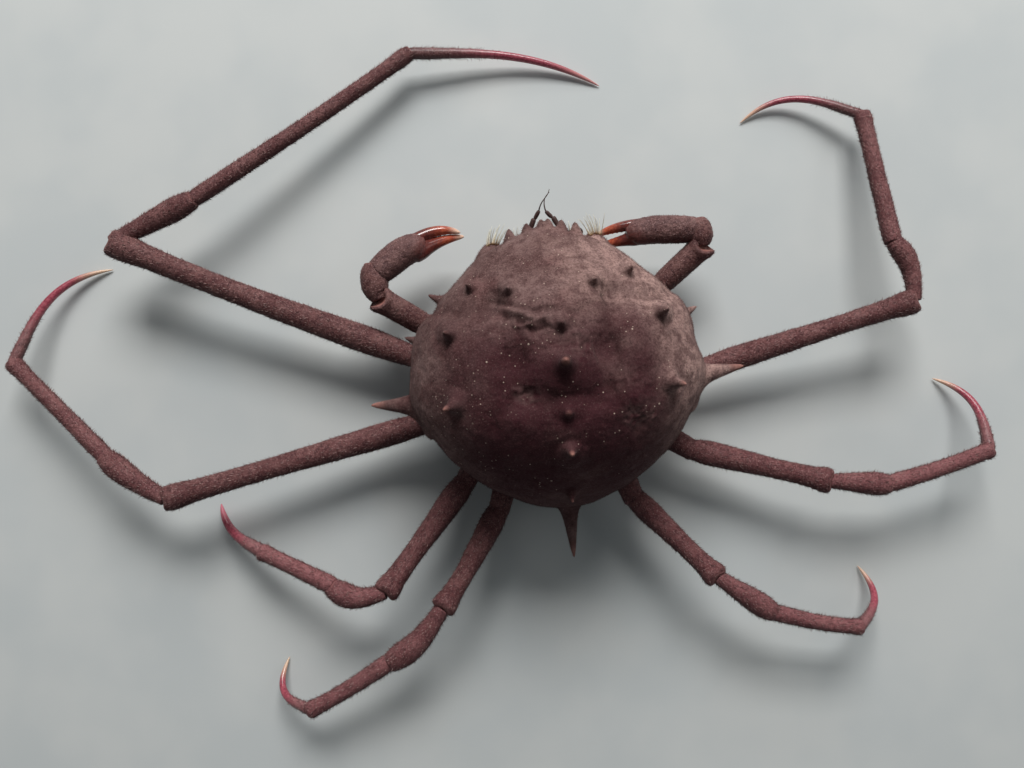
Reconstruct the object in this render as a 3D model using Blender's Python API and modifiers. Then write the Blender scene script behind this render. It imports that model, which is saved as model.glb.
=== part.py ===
"""Life-size still model of the spider crab Doclea macracanthus.

The crab rests on its belly and on the tips of its walking legs. Its head faces -Y, its left
side is +X, and the origin is on the floor under the belly. Sizes are named in millimetres
and become metres when a mesh is made.
"""
import math
from collections import namedtuple

import bmesh
import bpy
from mathutils import Vector

MM = 0.001
GAP = 0.3
WELD = 0.00002

# Carapace rings, front to rear: y, half width, height of the margin, top, underside.
BODY_RINGS = (
    (-21.8, 2.2, 17.0, 18.2, 15.8),
    (-21.2, 4.6, 16.6, 18.9, 13.8),
    (-20.2, 7.7, 16.0, 19.9, 11.6),
    (-18.2, 11.3, 15.4, 21.6, 9.4),
    (-13.2, 16.0, 15.0, 25.0, 8.6),
    (-8.0, 21.0, 15.0, 28.0, 8.6),
    (-2.0, 23.2, 15.0, 30.2, 8.6),
    (4.0, 23.4, 14.8, 31.0, 8.6),
    (10.0, 20.4, 14.2, 30.0, 8.5),
    (15.0, 16.6, 13.4, 27.0, 8.3),
    (19.5, 11.0, 12.4, 22.0, 8.0),
    (22.3, 5.5, 11.4, 16.5, 8.2),
    (23.3, 1.5, 11.0, 12.5, 9.4),
)
THORAX_RINGS = (
    (-18.6, 5.0, 11.0, 14.0, 8.4),
    (-16.0, 8.6, 10.0, 14.0, 5.4),
    (-13.0, 11.0, 9.5, 14.0, 3.2),
    (-8.0, 13.6, 9.5, 14.0, 1.6),
    (-2.0, 14.6, 9.5, 14.0, 1.2),
    (4.0, 14.6, 9.5, 14.0, 1.2),
    (10.0, 13.6, 9.5, 14.0, 1.7),
    (15.0, 11.2, 9.5, 14.0, 2.8),
    (18.5, 8.4, 9.5, 14.0, 4.2),
    (20.6, 5.6, 10.0, 14.0, 6.2),
    (21.4, 3.0, 10.5, 14.0, 8.2),
)
ABDOMEN_RINGS = (
    (-9.0, 3.0, 2.2, 3.4, 0.8),
    (-7.6, 6.0, 2.2, 3.6, 0.0),
    (-4.0, 9.0, 2.2, 3.6, -0.2),
    (1.0, 10.8, 2.2, 3.6, -0.2),
    (6.0, 10.8, 2.3, 3.8, -0.2),
    (11.0, 9.4, 2.8, 4.4, 0.2),
    (15.0, 7.6, 3.8, 5.8, 1.3),
    (18.6, 6.0, 5.4, 7.6, 2.8),
    (21.0, 5.0, 7.0, 8.6, 4.9),
    (22.4, 4.2, 8.0, 8.8, 7.2),
)
TOP_CURVE = 2.2
UNDERSIDE_CURVE = 2.6
CARAPACE_EDGE = 9.3
SOMITE_EDGES = (-3.2, 3.6, 8.4, 12.6, 16.2, 19.4)
SOMITE_GROOVE = 0.45
SOMITE_GROOVE_WIDTH = 0.7

# Swellings and furrows of the carapace: x, y, reach, height; those off the midline are paired.
REGIONS = (
    (0.0, -8.0, 7.0, 0.9),
    (0.0, 1.5, 4.5, 0.8),
    (0.0, 9.5, 5.0, 1.0),
    (13.5, -4.0, 6.0, 0.7),
    (12.0, 8.0, 5.5, 0.9),
    (8.2, 6.4, 2.6, 0.6),
    (6.6, -1.0, 2.6, -0.9),
    (5.6, 4.5, 2.2, -0.8),
    (9.6, -8.6, 2.4, -0.5),
)

# Spines of the midline: y, length, root radius, lean to the rear in degrees.
MEDIAN_SPINES = (
    (-5.3, 2.2, 1.7, -8.0),
    (0.3, 4.0, 2.7, -10.0),
    (7.0, 1.6, 2.3, 5.0),
    (12.6, 3.4, 2.0, 32.0),
    (19.6, 2.0, 1.4, 48.0),
)
# Paired spines on the back: x, y, length, root radius, azimuth and elevation in degrees.
BACK_SPINES = (
    (11.7, -12.6, 2.2, 1.4, -40.0, 60.0),
    (6.2, -11.4, 1.9, 1.5, -60.0, 75.0),
    (15.3, -5.8, 3.0, 1.8, -20.0, 70.0),
    (15.6, 4.4, 3.4, 2.0, 20.0, 50.0),
)
# Paired spines along the edge: root x, y, z, length, root radius, azimuth, elevation.
EDGE_SPINES = (
    (21.3, -6.0, 15.2, 2.6, 1.6, -24.0, 6.0),
    (22.0, 4.1, 14.8, 8.2, 3.3, -6.0, 3.0),
)
# Teeth of the front, placed from the head's midline, which lies a little to the right.
HEAD_SHIFT = -0.35
FRONT_TEETH = (
    (0.6, -21.5, 17.6, 1.4, 0.75, -90.0, 6.0),
    (2.6, -20.8, 17.4, 1.65, 0.95, -82.0, 10.0),
    (4.95, -20.2, 17.2, 1.9, 0.95, -80.0, 0.0),
    (7.0, -19.3, 16.9, 1.7, 1.1, -72.0, -4.0),
    (8.2, -19.0, 14.4, 1.7, 1.9, -78.0, -6.0),
)
# Spines without a mirrored twin: the long one of the rear, and the first one of each edge.
SINGLE_SPINES = (
    (0.0, 21.6, 12.0, 10.6, 2.9, 90.0, -8.0),
    (16.6, -11.9, 15.2, 3.0, 1.8, -30.0, 6.0),
    (-16.6, -9.9, 15.6, 2.5, 1.7, -156.0, 6.0),
)

# Shapes of a spine and a tooth: share of the length, share of the root radius.
SPINE_PROFILE = ((0.0, 1.0), (0.14, 0.62), (0.4, 0.36), (0.75, 0.2), (1.0, 0.05))
TOOTH_PROFILE = ((0.0, 1.0), (0.45, 0.72), (0.8, 0.4), (1.0, 0.16))
SPINE_SINK = 1.6

# Shapes of a limb's pieces: share of the length, share of the radius.
BASE_PROFILE = ((0.0, 1.1), (0.5, 1.12), (0.8, 1.0), (1.0, 0.98))
MERUS_PROFILE = (
    (0.0, 0.9), (0.04, 1.0), (0.15, 1.14), (0.4, 1.02), (0.65, 0.9), (0.88, 0.94), (0.97, 1.06), (1.0, 1.0),
)
CARPUS_PROFILE = ((0.0, 0.72), (0.15, 0.82), (0.45, 1.0), (0.72, 1.16), (0.93, 1.14), (1.0, 0.95))
PROPODUS_PROFILE = ((0.0, 0.82), (0.08, 0.94), (0.3, 1.02), (0.7, 0.98), (0.93, 1.02), (0.98, 1.12), (1.0, 1.0))
DACTYL_PROFILE = (
    (0.0, 1.0), (0.06, 1.12), (0.18, 1.02), (0.34, 0.88), (0.5, 0.8),
    (0.66, 0.72), (0.8, 0.6), (0.91, 0.45), (1.0, 0.3),
)
CLAW_MERUS_PROFILE = ((0.0, 0.88), (0.12, 0.96), (0.5, 1.0), (0.85, 1.02), (0.95, 1.1), (1.0, 1.04))
CLAW_CARPUS_PROFILE = ((0.0, 0.62), (0.25, 0.86), (0.6, 1.03), (0.9, 1.05), (0.92, 0.93), (1.0, 0.55))
PALM_PROFILE = ((0.0, 0.8), (0.15, 0.95), (0.45, 1.04), (0.75, 1.0), (1.0, 0.9))
FINGER_PROFILE = ((0.0, 1.0), (0.2, 1.0), (0.45, 0.9), (0.7, 0.7), (0.9, 0.48), (1.0, 0.34))
PROFILES = {
    "merus": MERUS_PROFILE,
    "carpus": CARPUS_PROFILE,
    "propodus": PROPODUS_PROFILE,
    "dactyl": DACTYL_PROFILE,
    "claw_merus": CLAW_MERUS_PROFILE,
    "claw_carpus": CLAW_CARPUS_PROFILE,
    "claw_palm": PALM_PROFILE,
}
# How far the last two rings stand out past the joint, as a share of the radius.
OVERHANG = {
    "merus": 0.5, "carpus": 0.35, "propodus": 0.3, "dactyl": 0.0,
    "claw_merus": 0.3, "claw_carpus": 0.85, "claw_palm": 0.0,
}
# A bow is deepest a little past the middle.
BOW_LATE = 1.25

# A limb's root in the thorax, given for the left side.
ROOTS = {
    "claw": (9.5, -7.5, 6.2),
    "leg_1": (10.0, -3.5, 6.0),
    "leg_2": (10.0, 2.2, 6.0),
    "leg_3": (9.5, 7.6, 6.2),
    "leg_4": (7.5, 12.0, 6.4),
}
BASE_RADIUS = 1.75
STUMP_END = (-15.9, -4.5, 6.2)

# A piece of a limb: name, length, azimuth, elevation, sideways bow and radius.
Piece = namedtuple("Piece", "name length azimuth elevation bow radius")
Limb = namedtuple("Limb", "name root side start pieces")
LIMBS = (
    Limb("leg_left_1", "leg_1", 1, (23.7, -4.3, 6.9), (
        Piece("merus", 53.0, -26.9, 3.9, 0.5, 2.0),
        Piece("carpus", 14.7, -156.6, -3.9, 0.0, 1.6),
        Piece("propodus", 45.0, -149.3, -6.4, -0.3, 1.28),
        Piece("dactyl", 34.1, 166.8, -7.1, 2.5, 0.85))),
    Limb("leg_left_2", "leg_2", 1, (21.9, 7.2, 6.6), (
        Piece("merus", 45.7, 10.1, 4.3, 0.0, 1.85),
        Piece("carpus", 12.5, -39.5, -4.6, 0.5, 1.65),
        Piece("propodus", 23.7, -48.8, -6.1, 0.0, 1.32),
        Piece("dactyl", 22.8, -136.1, -15.8, 3.8, 0.85))),
    Limb("leg_left_3", "leg_3", 1, (16.7, 17.7, 6.9), (
        Piece("merus", 22.7, 47.9, 10.4, 0.0, 1.85),
        Piece("carpus", 8.8, -11.2, -3.3, 1.5, 1.65),
        Piece("propodus", 14.9, -25.8, -17.6, 0.0, 1.35),
        Piece("dactyl", 13.0, -45.4, -26.0, 1.6, 0.85))),
    Limb("leg_left_4", "leg_4", 1, (11.6, 23.1, 6.9), (
        Piece("merus", 18.8, 53.5, 12.6, 0.3, 1.8),
        Piece("carpus", 13.0, 40.6, -6.6, 1.0, 1.75),
        Piece("propodus", 16.9, 26.6, -6.8, 0.3, 1.35),
        Piece("dactyl", 11.2, -56.9, -40.1, 3.2, 0.8))),
    Limb("leg_right_2", "leg_2", -1, (-25.1, 3.2, 6.5), (
        Piece("merus", 36.8, -168.0, 6.2, 0.0, 1.75),
        Piece("carpus", 10.4, -78.6, -5.5, -1.2, 1.4),
        Piece("propodus", 23.9, -88.7, -12.1, 0.0, 1.35),
        Piece("dactyl", 20.5, -5.5, -11.8, -3.6, 0.75))),
    Limb("leg_right_3", "leg_3", -1, (-21.8, 16.5, 7.0), (
        Piece("merus", 23.3, 161.2, 7.4, 0.0, 1.8),
        Piece("carpus", 9.9, 170.5, 0.0, 0.0, 1.6),
        Piece("propodus", 18.0, -167.2, 0.0, -0.3, 1.3),
        Piece("dactyl", 16.0, -75.1, -37.2, -3.0, 0.85))),
    Limb("leg_right_4", "leg_4", -1, (-11.3, 23.5, 7.0), (
        Piece("merus", 18.8, 130.0, 12.3, 0.0, 1.75),
        Piece("carpus", 11.2, 141.2, -2.6, 0.0, 1.6),
        Piece("propodus", 15.7, 163.3, -5.5, -0.4, 1.25),
        Piece("dactyl", 12.4, -117.1, -44.4, -2.9, 0.8))),
    Limb("claw_left", "claw", 1, (20.9, -9.3, 7.1), (
        Piece("merus", 8.7, -35.7, 19.5, 0.0, 2.05),
        Piece("carpus", 4.2, -84.0, 0.0, 0.4, 2.15),
        Piece("palm", 9.4, -148.5, -6.0, 0.35, 2.4))),
    Limb("claw_right", "claw", -1, (-19.8, -11.9, 7.1), (
        Piece("merus", 9.3, -142.6, 18.2, 0.0, 2.0),
        Piece("carpus", 2.9, -84.5, 0.0, 0.0, 2.0),
        Piece("palm", 11.5, -6.2, -5.0, 0.0, 2.25))),
)

# Fingers of each claw: tip and bow of the movable and of the fixed one, and their radius.
FINGERS = {
    "claw_left": ((13.2, -24.2, 7.6), 1.1, (12.6, -23.7, 6.6), 0.55, 0.82),
    "claw_right": ((-9.5, -21.2, 7.6), 0.4, (-9.4, -19.6, 6.6), 0.0, 0.72),
}
FINGER_ROOT_SPREAD = 1.1
FINGER_SINK = 2.0

# Eyes, given for the left side.
EYE_ROOT = (4.9, -18.8, 15.9)
EYE_TIP = (5.7, -21.5, 15.9)
EYE_PROFILE = ((0.0, 0.6), (0.45, 0.65), (0.62, 0.95), (0.78, 1.0), (0.92, 0.8), (1.0, 0.4))
EYE_RADIUS = 0.8

# Antennae: place and radius of each point, left then right, crossing in front of the head.
ANTENNA_LEFT = (
    ((2.0, -20.8, 15.3), 0.4), ((1.7, -22.3, 15.5), 0.42), ((1.1, -23.5, 16.0), 0.34),
    ((0.8, -23.8, 16.0), 0.36), ((0.1, -24.6, 16.6), 0.3), ((-0.4, -25.6, 17.5), 0.25),
    ((-1.0, -26.3, 18.0), 0.25), ((-1.8, -27.5, 18.2), 0.2),
)
ANTENNA_RIGHT = (
    ((-3.1, -20.9, 15.3), 0.4), ((-2.8, -22.5, 15.5), 0.42), ((-2.2, -23.4, 15.7), 0.34),
    ((-1.9, -23.7, 15.7), 0.36), ((-1.1, -24.5, 16.0), 0.3), ((-0.9, -25.5, 16.3), 0.25),
    ((-1.1, -26.4, 16.4), 0.25), ((-1.9, -27.5, 16.4), 0.2),
)

# Mouth plates on the front slope of the underside.
MOUTH_PLATE = (4.2, 8.0, 2.6)
MOUTH_PLACE = (2.45, -16.3, 6.0)
MOUTH_SLOPE = -44.0
MOUTH_BEVEL = 0.7

# How finely the parts are divided: rings along the body and points round each ring.
CARAPACE_MESH = (26, 44)
THORAX_MESH = (16, 32)
ABDOMEN_SIDES = 28
SOMITE_STEP = 1.4
TUBE_RESOLUTION = 3
THINNEST_TIP = 0.12
SHARP_ANGLE = 40.0
BEYOND = 200.0

# Colours and roughness of the materials.
COLOURS = {
    "carapace": ((0.105, 0.055, 0.050), 0.85),
    "underside": ((0.22, 0.12, 0.10), 0.6),
    "leg": ((0.15, 0.055, 0.055), 0.7),
    "dactyl": ((0.32, 0.035, 0.06), 0.35),
    "finger": ((0.42, 0.06, 0.03), 0.2),
    "eye": ((0.01, 0.006, 0.006), 0.15),
}


def clear_scene():
    """Remove every object."""
    for item in list(bpy.data.objects):
        bpy.data.objects.remove(item, do_unlink=True)


def make_material(name):
    """A plain finish with the part's colour and roughness."""
    colour, roughness = COLOURS[name]
    material = bpy.data.materials.new(name)
    material.use_nodes = True
    shader = material.node_tree.nodes["Principled BSDF"]
    shader.inputs["Base Color"].default_value = (*colour, 1.0)
    shader.inputs["Roughness"].default_value = roughness
    shader.inputs["Metallic"].default_value = 0.0
    return material


def new_object(name, mesh, collection):
    """Put a mesh in a collection as an object."""
    item = bpy.data.objects.new(name, mesh)
    collection.objects.link(item)
    return item


def mesh_object(name, work, collection):
    """Weld, turn outward and split into triangles a bmesh, and make it an object."""
    bmesh.ops.remove_doubles(work, verts=work.verts, dist=WELD)
    bmesh.ops.recalc_face_normals(work, faces=work.faces)
    bmesh.ops.triangulate(work, faces=work.faces)
    mesh = bpy.data.meshes.new(name)
    work.to_mesh(mesh)
    work.free()
    return new_object(name, mesh, collection)


def evaluated_mesh(item):
    """The object's mesh with its modifiers applied."""
    graph = bpy.context.evaluated_depsgraph_get()
    return bpy.data.meshes.new_from_object(item.evaluated_get(graph))


def tube(name, points, radii, collection, grow=0.0):
    """A tapered round tube along points in mm, with both ends lengthened by grow."""
    points = [Vector(point) for point in points]
    points[0] -= (points[1] - points[0]).normalized() * grow
    points[-1] += (points[-1] - points[-2]).normalized() * grow
    curve = bpy.data.curves.new(name, "CURVE")
    curve.dimensions = "3D"
    curve.bevel_depth = MM
    curve.bevel_resolution = TUBE_RESOLUTION
    curve.use_fill_caps = True
    spline = curve.splines.new("POLY")
    spline.points.add(len(points) - 1)
    for target, point, radius in zip(spline.points, points, radii):
        target.co = (*(point * MM), 1.0)
        target.radius = radius + grow
    guide = new_object(name + "_guide", curve, collection)
    mesh = evaluated_mesh(guide)
    work = bmesh.new()
    work.from_mesh(mesh)
    item = mesh_object(name, work, collection)
    item.matrix_world = guide.matrix_world.copy()
    bpy.data.objects.remove(guide, do_unlink=True)
    return item


def direction(azimuth, elevation):
    """A unit vector from two angles in degrees."""
    azimuth = math.radians(azimuth)
    elevation = math.radians(elevation)
    flat = math.cos(elevation)
    return Vector((flat * math.cos(azimuth), flat * math.sin(azimuth), math.sin(elevation)))


def bowed_tube(name, start, end, bow, profile, radius, collection, overhang=0.0, grow=0.0):
    """A limb piece from start to end, bowed to the left of its way as seen from above."""
    start = Vector(start)
    along = Vector(end) - start
    left = Vector((-along.y, along.x, 0.0)).normalized()
    points = []
    for share, _ in profile:
        bent = share**BOW_LATE
        points.append(start + along * share + left * (4.0 * bow * bent * (1.0 - bent)))
    points[-1] += along.normalized() * overhang
    points[-2] += along.normalized() * overhang
    radii = [radius * factor for _, factor in profile]
    return tube(name, points, radii, collection, grow)


def smooth(rings, place):
    """Read the ring values at a place from one smooth curve through them."""
    last = len(rings) - 1
    index = 0
    while index < last - 1 and rings[index + 1][0] < place:
        index += 1
    before = rings[max(index - 1, 0)]
    low = rings[index]
    high = rings[index + 1]
    after = rings[min(index + 2, last)]
    span = high[0] - low[0]
    t = (place - low[0]) / span
    values = []
    for k in range(1, len(low)):
        slope_low = (high[k] - before[k]) / (high[0] - before[0]) * span
        slope_high = (after[k] - low[k]) / (after[0] - low[0]) * span
        values.append(
            (2 * t**3 - 3 * t**2 + 1) * low[k] + (t**3 - 2 * t**2 + t) * slope_low
            + (3 * t**2 - 2 * t**3) * high[k] + (t**3 - t**2) * slope_high)
    return values


def swelling(x, y):
    """How far the carapace stands out or dips at a place."""
    total = 0.0
    for centre, along, reach, height in REGIONS:
        sides = (centre, -centre) if centre else (centre,)
        for side in sides:
            distance = ((x - side)**2 + (y - along)**2) / reach**2
            total += height * math.exp(-distance)
    return total


def back_height(x, y):
    """Height of the carapace at a place seen from above."""
    half_width, margin, top, _ = smooth(BODY_RINGS, y)
    share = min(abs(x) / half_width, 1.0)
    rise = (1.0 - share**TOP_CURVE)**(1.0 / TOP_CURVE)
    return margin + (top - margin) * rise + swelling(x, y) * rise


def body_height(x, y, z, rise):
    """Add the carapace's swellings to its upper side."""
    return z + swelling(x, y) * rise


def somite_height(x, y, z, rise):
    """Press the grooves between the somites into the underside of the abdomen."""
    depth = 0.0
    for edge in SOMITE_EDGES:
        depth += SOMITE_GROOVE * math.exp(-((y - edge) / SOMITE_GROOVE_WIDTH)**2)
    return z + depth * max(-rise, 0.0)


def loft(name, rings, places, sides, collection, relief=None, grow=0.0):
    """A closed body through smooth oval rings across Y, stood off by grow."""
    work = bmesh.new()
    loops = []
    for index, place in enumerate(places):
        half_width, margin, top, underside = smooth(rings, place)
        shift = grow * ((index == len(places) - 1) - (index == 0))
        loop = []
        for step in range(sides):
            angle = math.tau * step / sides
            across = math.cos(angle)
            rise = math.sin(angle)
            bend = TOP_CURVE if rise > 0.0 else UNDERSIDE_CURVE
            share_x = math.copysign(abs(across)**(2.0 / bend), across)
            share_z = math.copysign(abs(rise)**(2.0 / bend), rise)
            height = (top - margin if rise > 0.0 else margin - underside) + grow
            x = share_x * (half_width + grow)
            z = margin + share_z * height
            if relief:
                z = relief(x, place, z, share_z)
            loop.append(work.verts.new(Vector((x, place + shift, z)) * MM))
        loops.append(loop)
    for near, far in zip(loops, loops[1:]):
        for step in range(sides):
            after = (step + 1) % sides
            work.faces.new((near[step], near[after], far[after], far[step]))
    work.faces.new(loops[0])
    work.faces.new(loops[-1])
    return mesh_object(name, work, collection)


def even_places(rings, count):
    """Ring places along Y, closer together towards both ends."""
    front = rings[0][0]
    rear = rings[-1][0]
    places = []
    for step in range(count):
        share = 0.5 - 0.5 * math.cos(math.pi * step / (count - 1))
        places.append(front + (rear - front) * share)
    return places


def box(name, low, high, collection):
    """A box between two corners in mm."""
    bpy.ops.mesh.primitive_cube_add(size=1.0)
    item = bpy.context.object
    item.name = name
    for owner in list(item.users_collection):
        owner.objects.unlink(item)
    collection.objects.link(item)
    low = Vector(low) * MM
    high = Vector(high) * MM
    for vertex in item.data.vertices:
        share = vertex.co + Vector((0.5, 0.5, 0.5))
        vertex.co = [low[k] + (high[k] - low[k]) * share[k] for k in range(3)]
    return item


def settle(item):
    """Apply the object's modifiers, and keep only its largest closed surface."""
    mesh = evaluated_mesh(item)
    item.modifiers.clear()
    work = bmesh.new()
    work.from_mesh(mesh)
    bmesh.ops.triangulate(work, faces=work.faces)
    islands = []
    seen = set()
    for start in work.verts:
        if start in seen:
            continue
        island = [start]
        seen.add(start)
        for vertex in island:
            for edge in vertex.link_edges:
                other = edge.other_vert(vertex)
                if other not in seen:
                    seen.add(other)
                    island.append(other)
        islands.append(island)
    islands.sort(key=extent)
    for island in islands[:-1]:
        bmesh.ops.delete(work, geom=island, context="VERTS")
    clean = bpy.data.meshes.new(item.name)
    work.to_mesh(clean)
    work.free()
    item.data = clean


def extent(vertices):
    """Diagonal of the box round some vertices."""
    low = [min(vertex.co[k] for vertex in vertices) for k in range(3)]
    high = [max(vertex.co[k] for vertex in vertices) for k in range(3)]
    return (Vector(high) - Vector(low)).length


def subtract(item, cutters):
    """Cut other objects out of an object, and remove them."""
    for cutter in cutters:
        cutter.hide_render = True
        cutter.display_type = "WIRE"
        boolean = item.modifiers.new("cut", "BOOLEAN")
        boolean.operation = "DIFFERENCE"
        boolean.solver = "EXACT"
        boolean.object = cutter
    settle(item)
    for cutter in cutters:
        bpy.data.objects.remove(cutter, do_unlink=True)


def fuse(item, pieces):
    """Join the pieces of a collection to an object with one union, and remove them."""
    boolean = item.modifiers.new("join", "BOOLEAN")
    boolean.operation = "UNION"
    boolean.solver = "EXACT"
    boolean.operand_type = "COLLECTION"
    boolean.collection = pieces
    settle(item)
    for piece in list(pieces.objects):
        bpy.data.objects.remove(piece, do_unlink=True)


def finish(item, material):
    """Give a piece its material and smooth shading."""
    item.data.materials.clear()
    item.data.materials.append(material)
    item.data.shade_smooth()
    item.data.set_sharp_from_angle(angle=math.radians(SHARP_ANGLE))


def cone(name, root, way, length, radius, profile, collection):
    """A spine or tooth whose root is sunk in what it grows from."""
    root = Vector(root)
    points = [root - way * SPINE_SINK]
    radii = [radius * profile[0][1]]
    for share, factor in profile:
        points.append(root + way * (length * share))
        radii.append(max(radius * factor, THINNEST_TIP))
    return tube(name, points, radii, collection)


def make_spines(collection):
    """All spines and teeth of the carapace."""
    for y, length, radius, lean in MEDIAN_SPINES:
        root = (0.0, y, back_height(0.0, y))
        cone("median", root, direction(90.0, 90.0 - lean), length, radius, SPINE_PROFILE, collection)
    for x, y, z, length, radius, azimuth, elevation in SINGLE_SPINES:
        cone("single", (x, y, z), direction(azimuth, elevation), length, radius, SPINE_PROFILE, collection)
    for side in (1, -1):
        for x, y, length, radius, azimuth, elevation in BACK_SPINES:
            root = (side * x, y, back_height(x, y))
            way = direction(azimuth, elevation)
            way.x *= side
            cone("back", root, way, length, radius, SPINE_PROFILE, collection)
        for rows, profile, shift in ((EDGE_SPINES, SPINE_PROFILE, 0.0), (FRONT_TEETH, TOOTH_PROFILE, HEAD_SHIFT)):
            for x, y, z, length, radius, azimuth, elevation in rows:
                way = direction(azimuth, elevation)
                way.x *= side
                cone("edge", (side * x + shift, y, z), way, length, radius, profile, collection)


def mirrored(place, side):
    """A place given for the left side, on either side."""
    return Vector((place[0] * side, place[1], place[2]))


def make_eye(name, side, collection, grow=0.0):
    """An eye on its short stalk."""
    shift = Vector((HEAD_SHIFT, 0.0, 0.0))
    root = mirrored(EYE_ROOT, side) + shift
    tip = mirrored(EYE_TIP, side) + shift
    return bowed_tube(name, root, tip, 0.0, EYE_PROFILE, EYE_RADIUS, collection, grow=grow)


def make_antenna(name, rows, collection, grow=0.0):
    """An antenna from its row of points and radii."""
    return tube(name, [row[0] for row in rows], [row[1] for row in rows], collection, grow)


def make_body(parts, cutters, spines):
    """Carapace, thorax, abdomen, eyes, antennae and mouth plates."""
    rings, sides = CARAPACE_MESH
    carapace = loft("carapace", BODY_RINGS, even_places(BODY_RINGS, rings), sides, parts, body_height)
    make_spines(spines)
    fuse(carapace, spines)
    below = box("below", (-BEYOND, -BEYOND, -BEYOND), (BEYOND, BEYOND, CARAPACE_EDGE), cutters)
    sockets = [below]
    for side, word in ((1, "left"), (-1, "right")):
        sockets.append(make_eye("socket", side, cutters, GAP))
        rows = ANTENNA_LEFT if side > 0 else ANTENNA_RIGHT
        sockets.append(make_antenna("socket", rows, cutters, GAP))
        finish(make_eye("eye_" + word, side, parts), MATERIALS["eye"])
        finish(make_antenna("antenna_" + word, rows, parts), MATERIALS["leg"])
    subtract(carapace, sockets)
    finish(carapace, MATERIALS["carapace"])

    rings, sides = THORAX_MESH
    thorax = loft("thorax", THORAX_RINGS, even_places(THORAX_RINGS, rings), sides, parts)
    above = box("above", (-BEYOND, -BEYOND, CARAPACE_EDGE - GAP), (BEYOND, BEYOND, BEYOND), cutters)
    subtract(thorax, [above])
    finish(thorax, MATERIALS["underside"])

    places = [row[0] for row in ABDOMEN_RINGS]
    for edge in SOMITE_EDGES:
        places += [edge - SOMITE_STEP, edge, edge + SOMITE_STEP]
    abdomen = loft("abdomen", ABDOMEN_RINGS, sorted(places), ABDOMEN_SIDES, parts, somite_height)
    subtract(abdomen, [inflated_thorax(cutters), floor_box(cutters)])
    finish(abdomen, MATERIALS["underside"])

    for side, word in ((1, "left"), (-1, "right")):
        half = Vector(MOUTH_PLATE) * 0.5
        plate = box("maxilliped_" + word, -half, half, parts)
        plate.rotation_euler.x = math.radians(MOUTH_SLOPE)
        plate.location = mirrored(MOUTH_PLACE, side) * MM
        bevel = plate.modifiers.new("edge", "BEVEL")
        bevel.width = MOUTH_BEVEL * MM
        bevel.segments = 2
        bpy.context.view_layer.update()
        subtract(plate, [inflated_thorax(cutters)])
        finish(plate, MATERIALS["underside"])


def inflated_thorax(cutters):
    """The thorax stood off by the gap, to cut what grows from it."""
    rings, sides = THORAX_MESH
    return loft("thorax_cutter", THORAX_RINGS, even_places(THORAX_RINGS, rings), sides, cutters, grow=GAP)


def floor_box(cutters):
    """Everything below the floor."""
    return box("floor", (-BEYOND, -BEYOND, -BEYOND), (BEYOND, BEYOND, 0.0), cutters)


def make_limb(limb, parts, cutters, extras):
    """One leg or claw, from its base to its tip."""
    start = Vector(limb.start)
    root = mirrored(ROOTS[limb.root], limb.side)
    shape = (root, start, 0.0, BASE_PROFILE, BASE_RADIUS)
    base = bowed_tube(limb.name + "_base", *shape, parts)
    subtract(base, [inflated_thorax(cutters)])
    finish(base, MATERIALS["leg"])
    held = [(shape, 0.0)]
    for piece in limb.pieces:
        kind = "claw_" + piece.name if limb.root == "claw" else piece.name
        end = start + direction(piece.azimuth, piece.elevation) * piece.length
        overhang = OVERHANG[kind] * piece.radius
        shape = (start, end, piece.bow, PROFILES[kind], piece.radius)
        item = bowed_tube(limb.name + "_" + piece.name, *shape, parts, overhang)
        if piece.name == "palm":
            add_fixed_finger(item, limb, end, piece, extras)
        limits = [bowed_tube("held", *earlier, cutters, reach, GAP) for earlier, reach in held[-2:]]
        if piece.name == "dactyl":
            limits.append(floor_box(cutters))
        subtract(item, limits)
        finish(item, MATERIALS["dactyl" if piece.name == "dactyl" else "leg"])
        held.append((shape, overhang))
        start = end
    if limb.root == "claw":
        make_movable_finger(limb, start, limb.pieces[-1], shape, parts, cutters)


def finger_shape(limb, palm_end, palm, side, tip, bow):
    """Start, end, bow, profile and radius of one finger of a claw."""
    palm_way = direction(palm.azimuth, palm.elevation)
    left = Vector((-palm_way.y, palm_way.x, 0.0)).normalized()
    spread = left * (limb.side * side * FINGER_ROOT_SPREAD)
    start = palm_end + spread - palm_way * FINGER_SINK
    return start, Vector(tip), bow * limb.side, FINGER_PROFILE, FINGERS[limb.name][-1]


def fixed_finger_shape(limb, palm_end, palm):
    """The finger that is one piece with the palm."""
    _, _, tip, bow, _ = FINGERS[limb.name]
    return finger_shape(limb, palm_end, palm, -1, tip, bow)


def add_fixed_finger(palm_item, limb, palm_end, palm, extras):
    """Fuse the fixed finger to the palm."""
    bowed_tube("fixed_finger", *fixed_finger_shape(limb, palm_end, palm), extras)
    fuse(palm_item, extras)


def make_movable_finger(limb, palm_end, palm, palm_shape, parts, cutters):
    """The movable finger, clear of the palm and of the fixed finger."""
    tip, bow, _, _, _ = FINGERS[limb.name]
    finger = bowed_tube(limb.name + "_finger", *finger_shape(limb, palm_end, palm, 1, tip, bow), parts)
    palm_cutter = bowed_tube("palm_cutter", *palm_shape, cutters, grow=GAP)
    fixed = fixed_finger_shape(limb, palm_end, palm)
    fixed_cutter = bowed_tube("fixed_cutter", *fixed, cutters, grow=GAP)
    subtract(finger, [palm_cutter, fixed_cutter])
    finish(finger, MATERIALS["finger"])


def make_stump(parts, cutters):
    """The stump of the missing right first walking leg."""
    root = mirrored(ROOTS["leg_1"], -1)
    stump = bowed_tube("leg_right_1_stump", root, STUMP_END, 0.0, BASE_PROFILE, BASE_RADIUS, parts)
    subtract(stump, [inflated_thorax(cutters)])
    finish(stump, MATERIALS["leg"])


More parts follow.
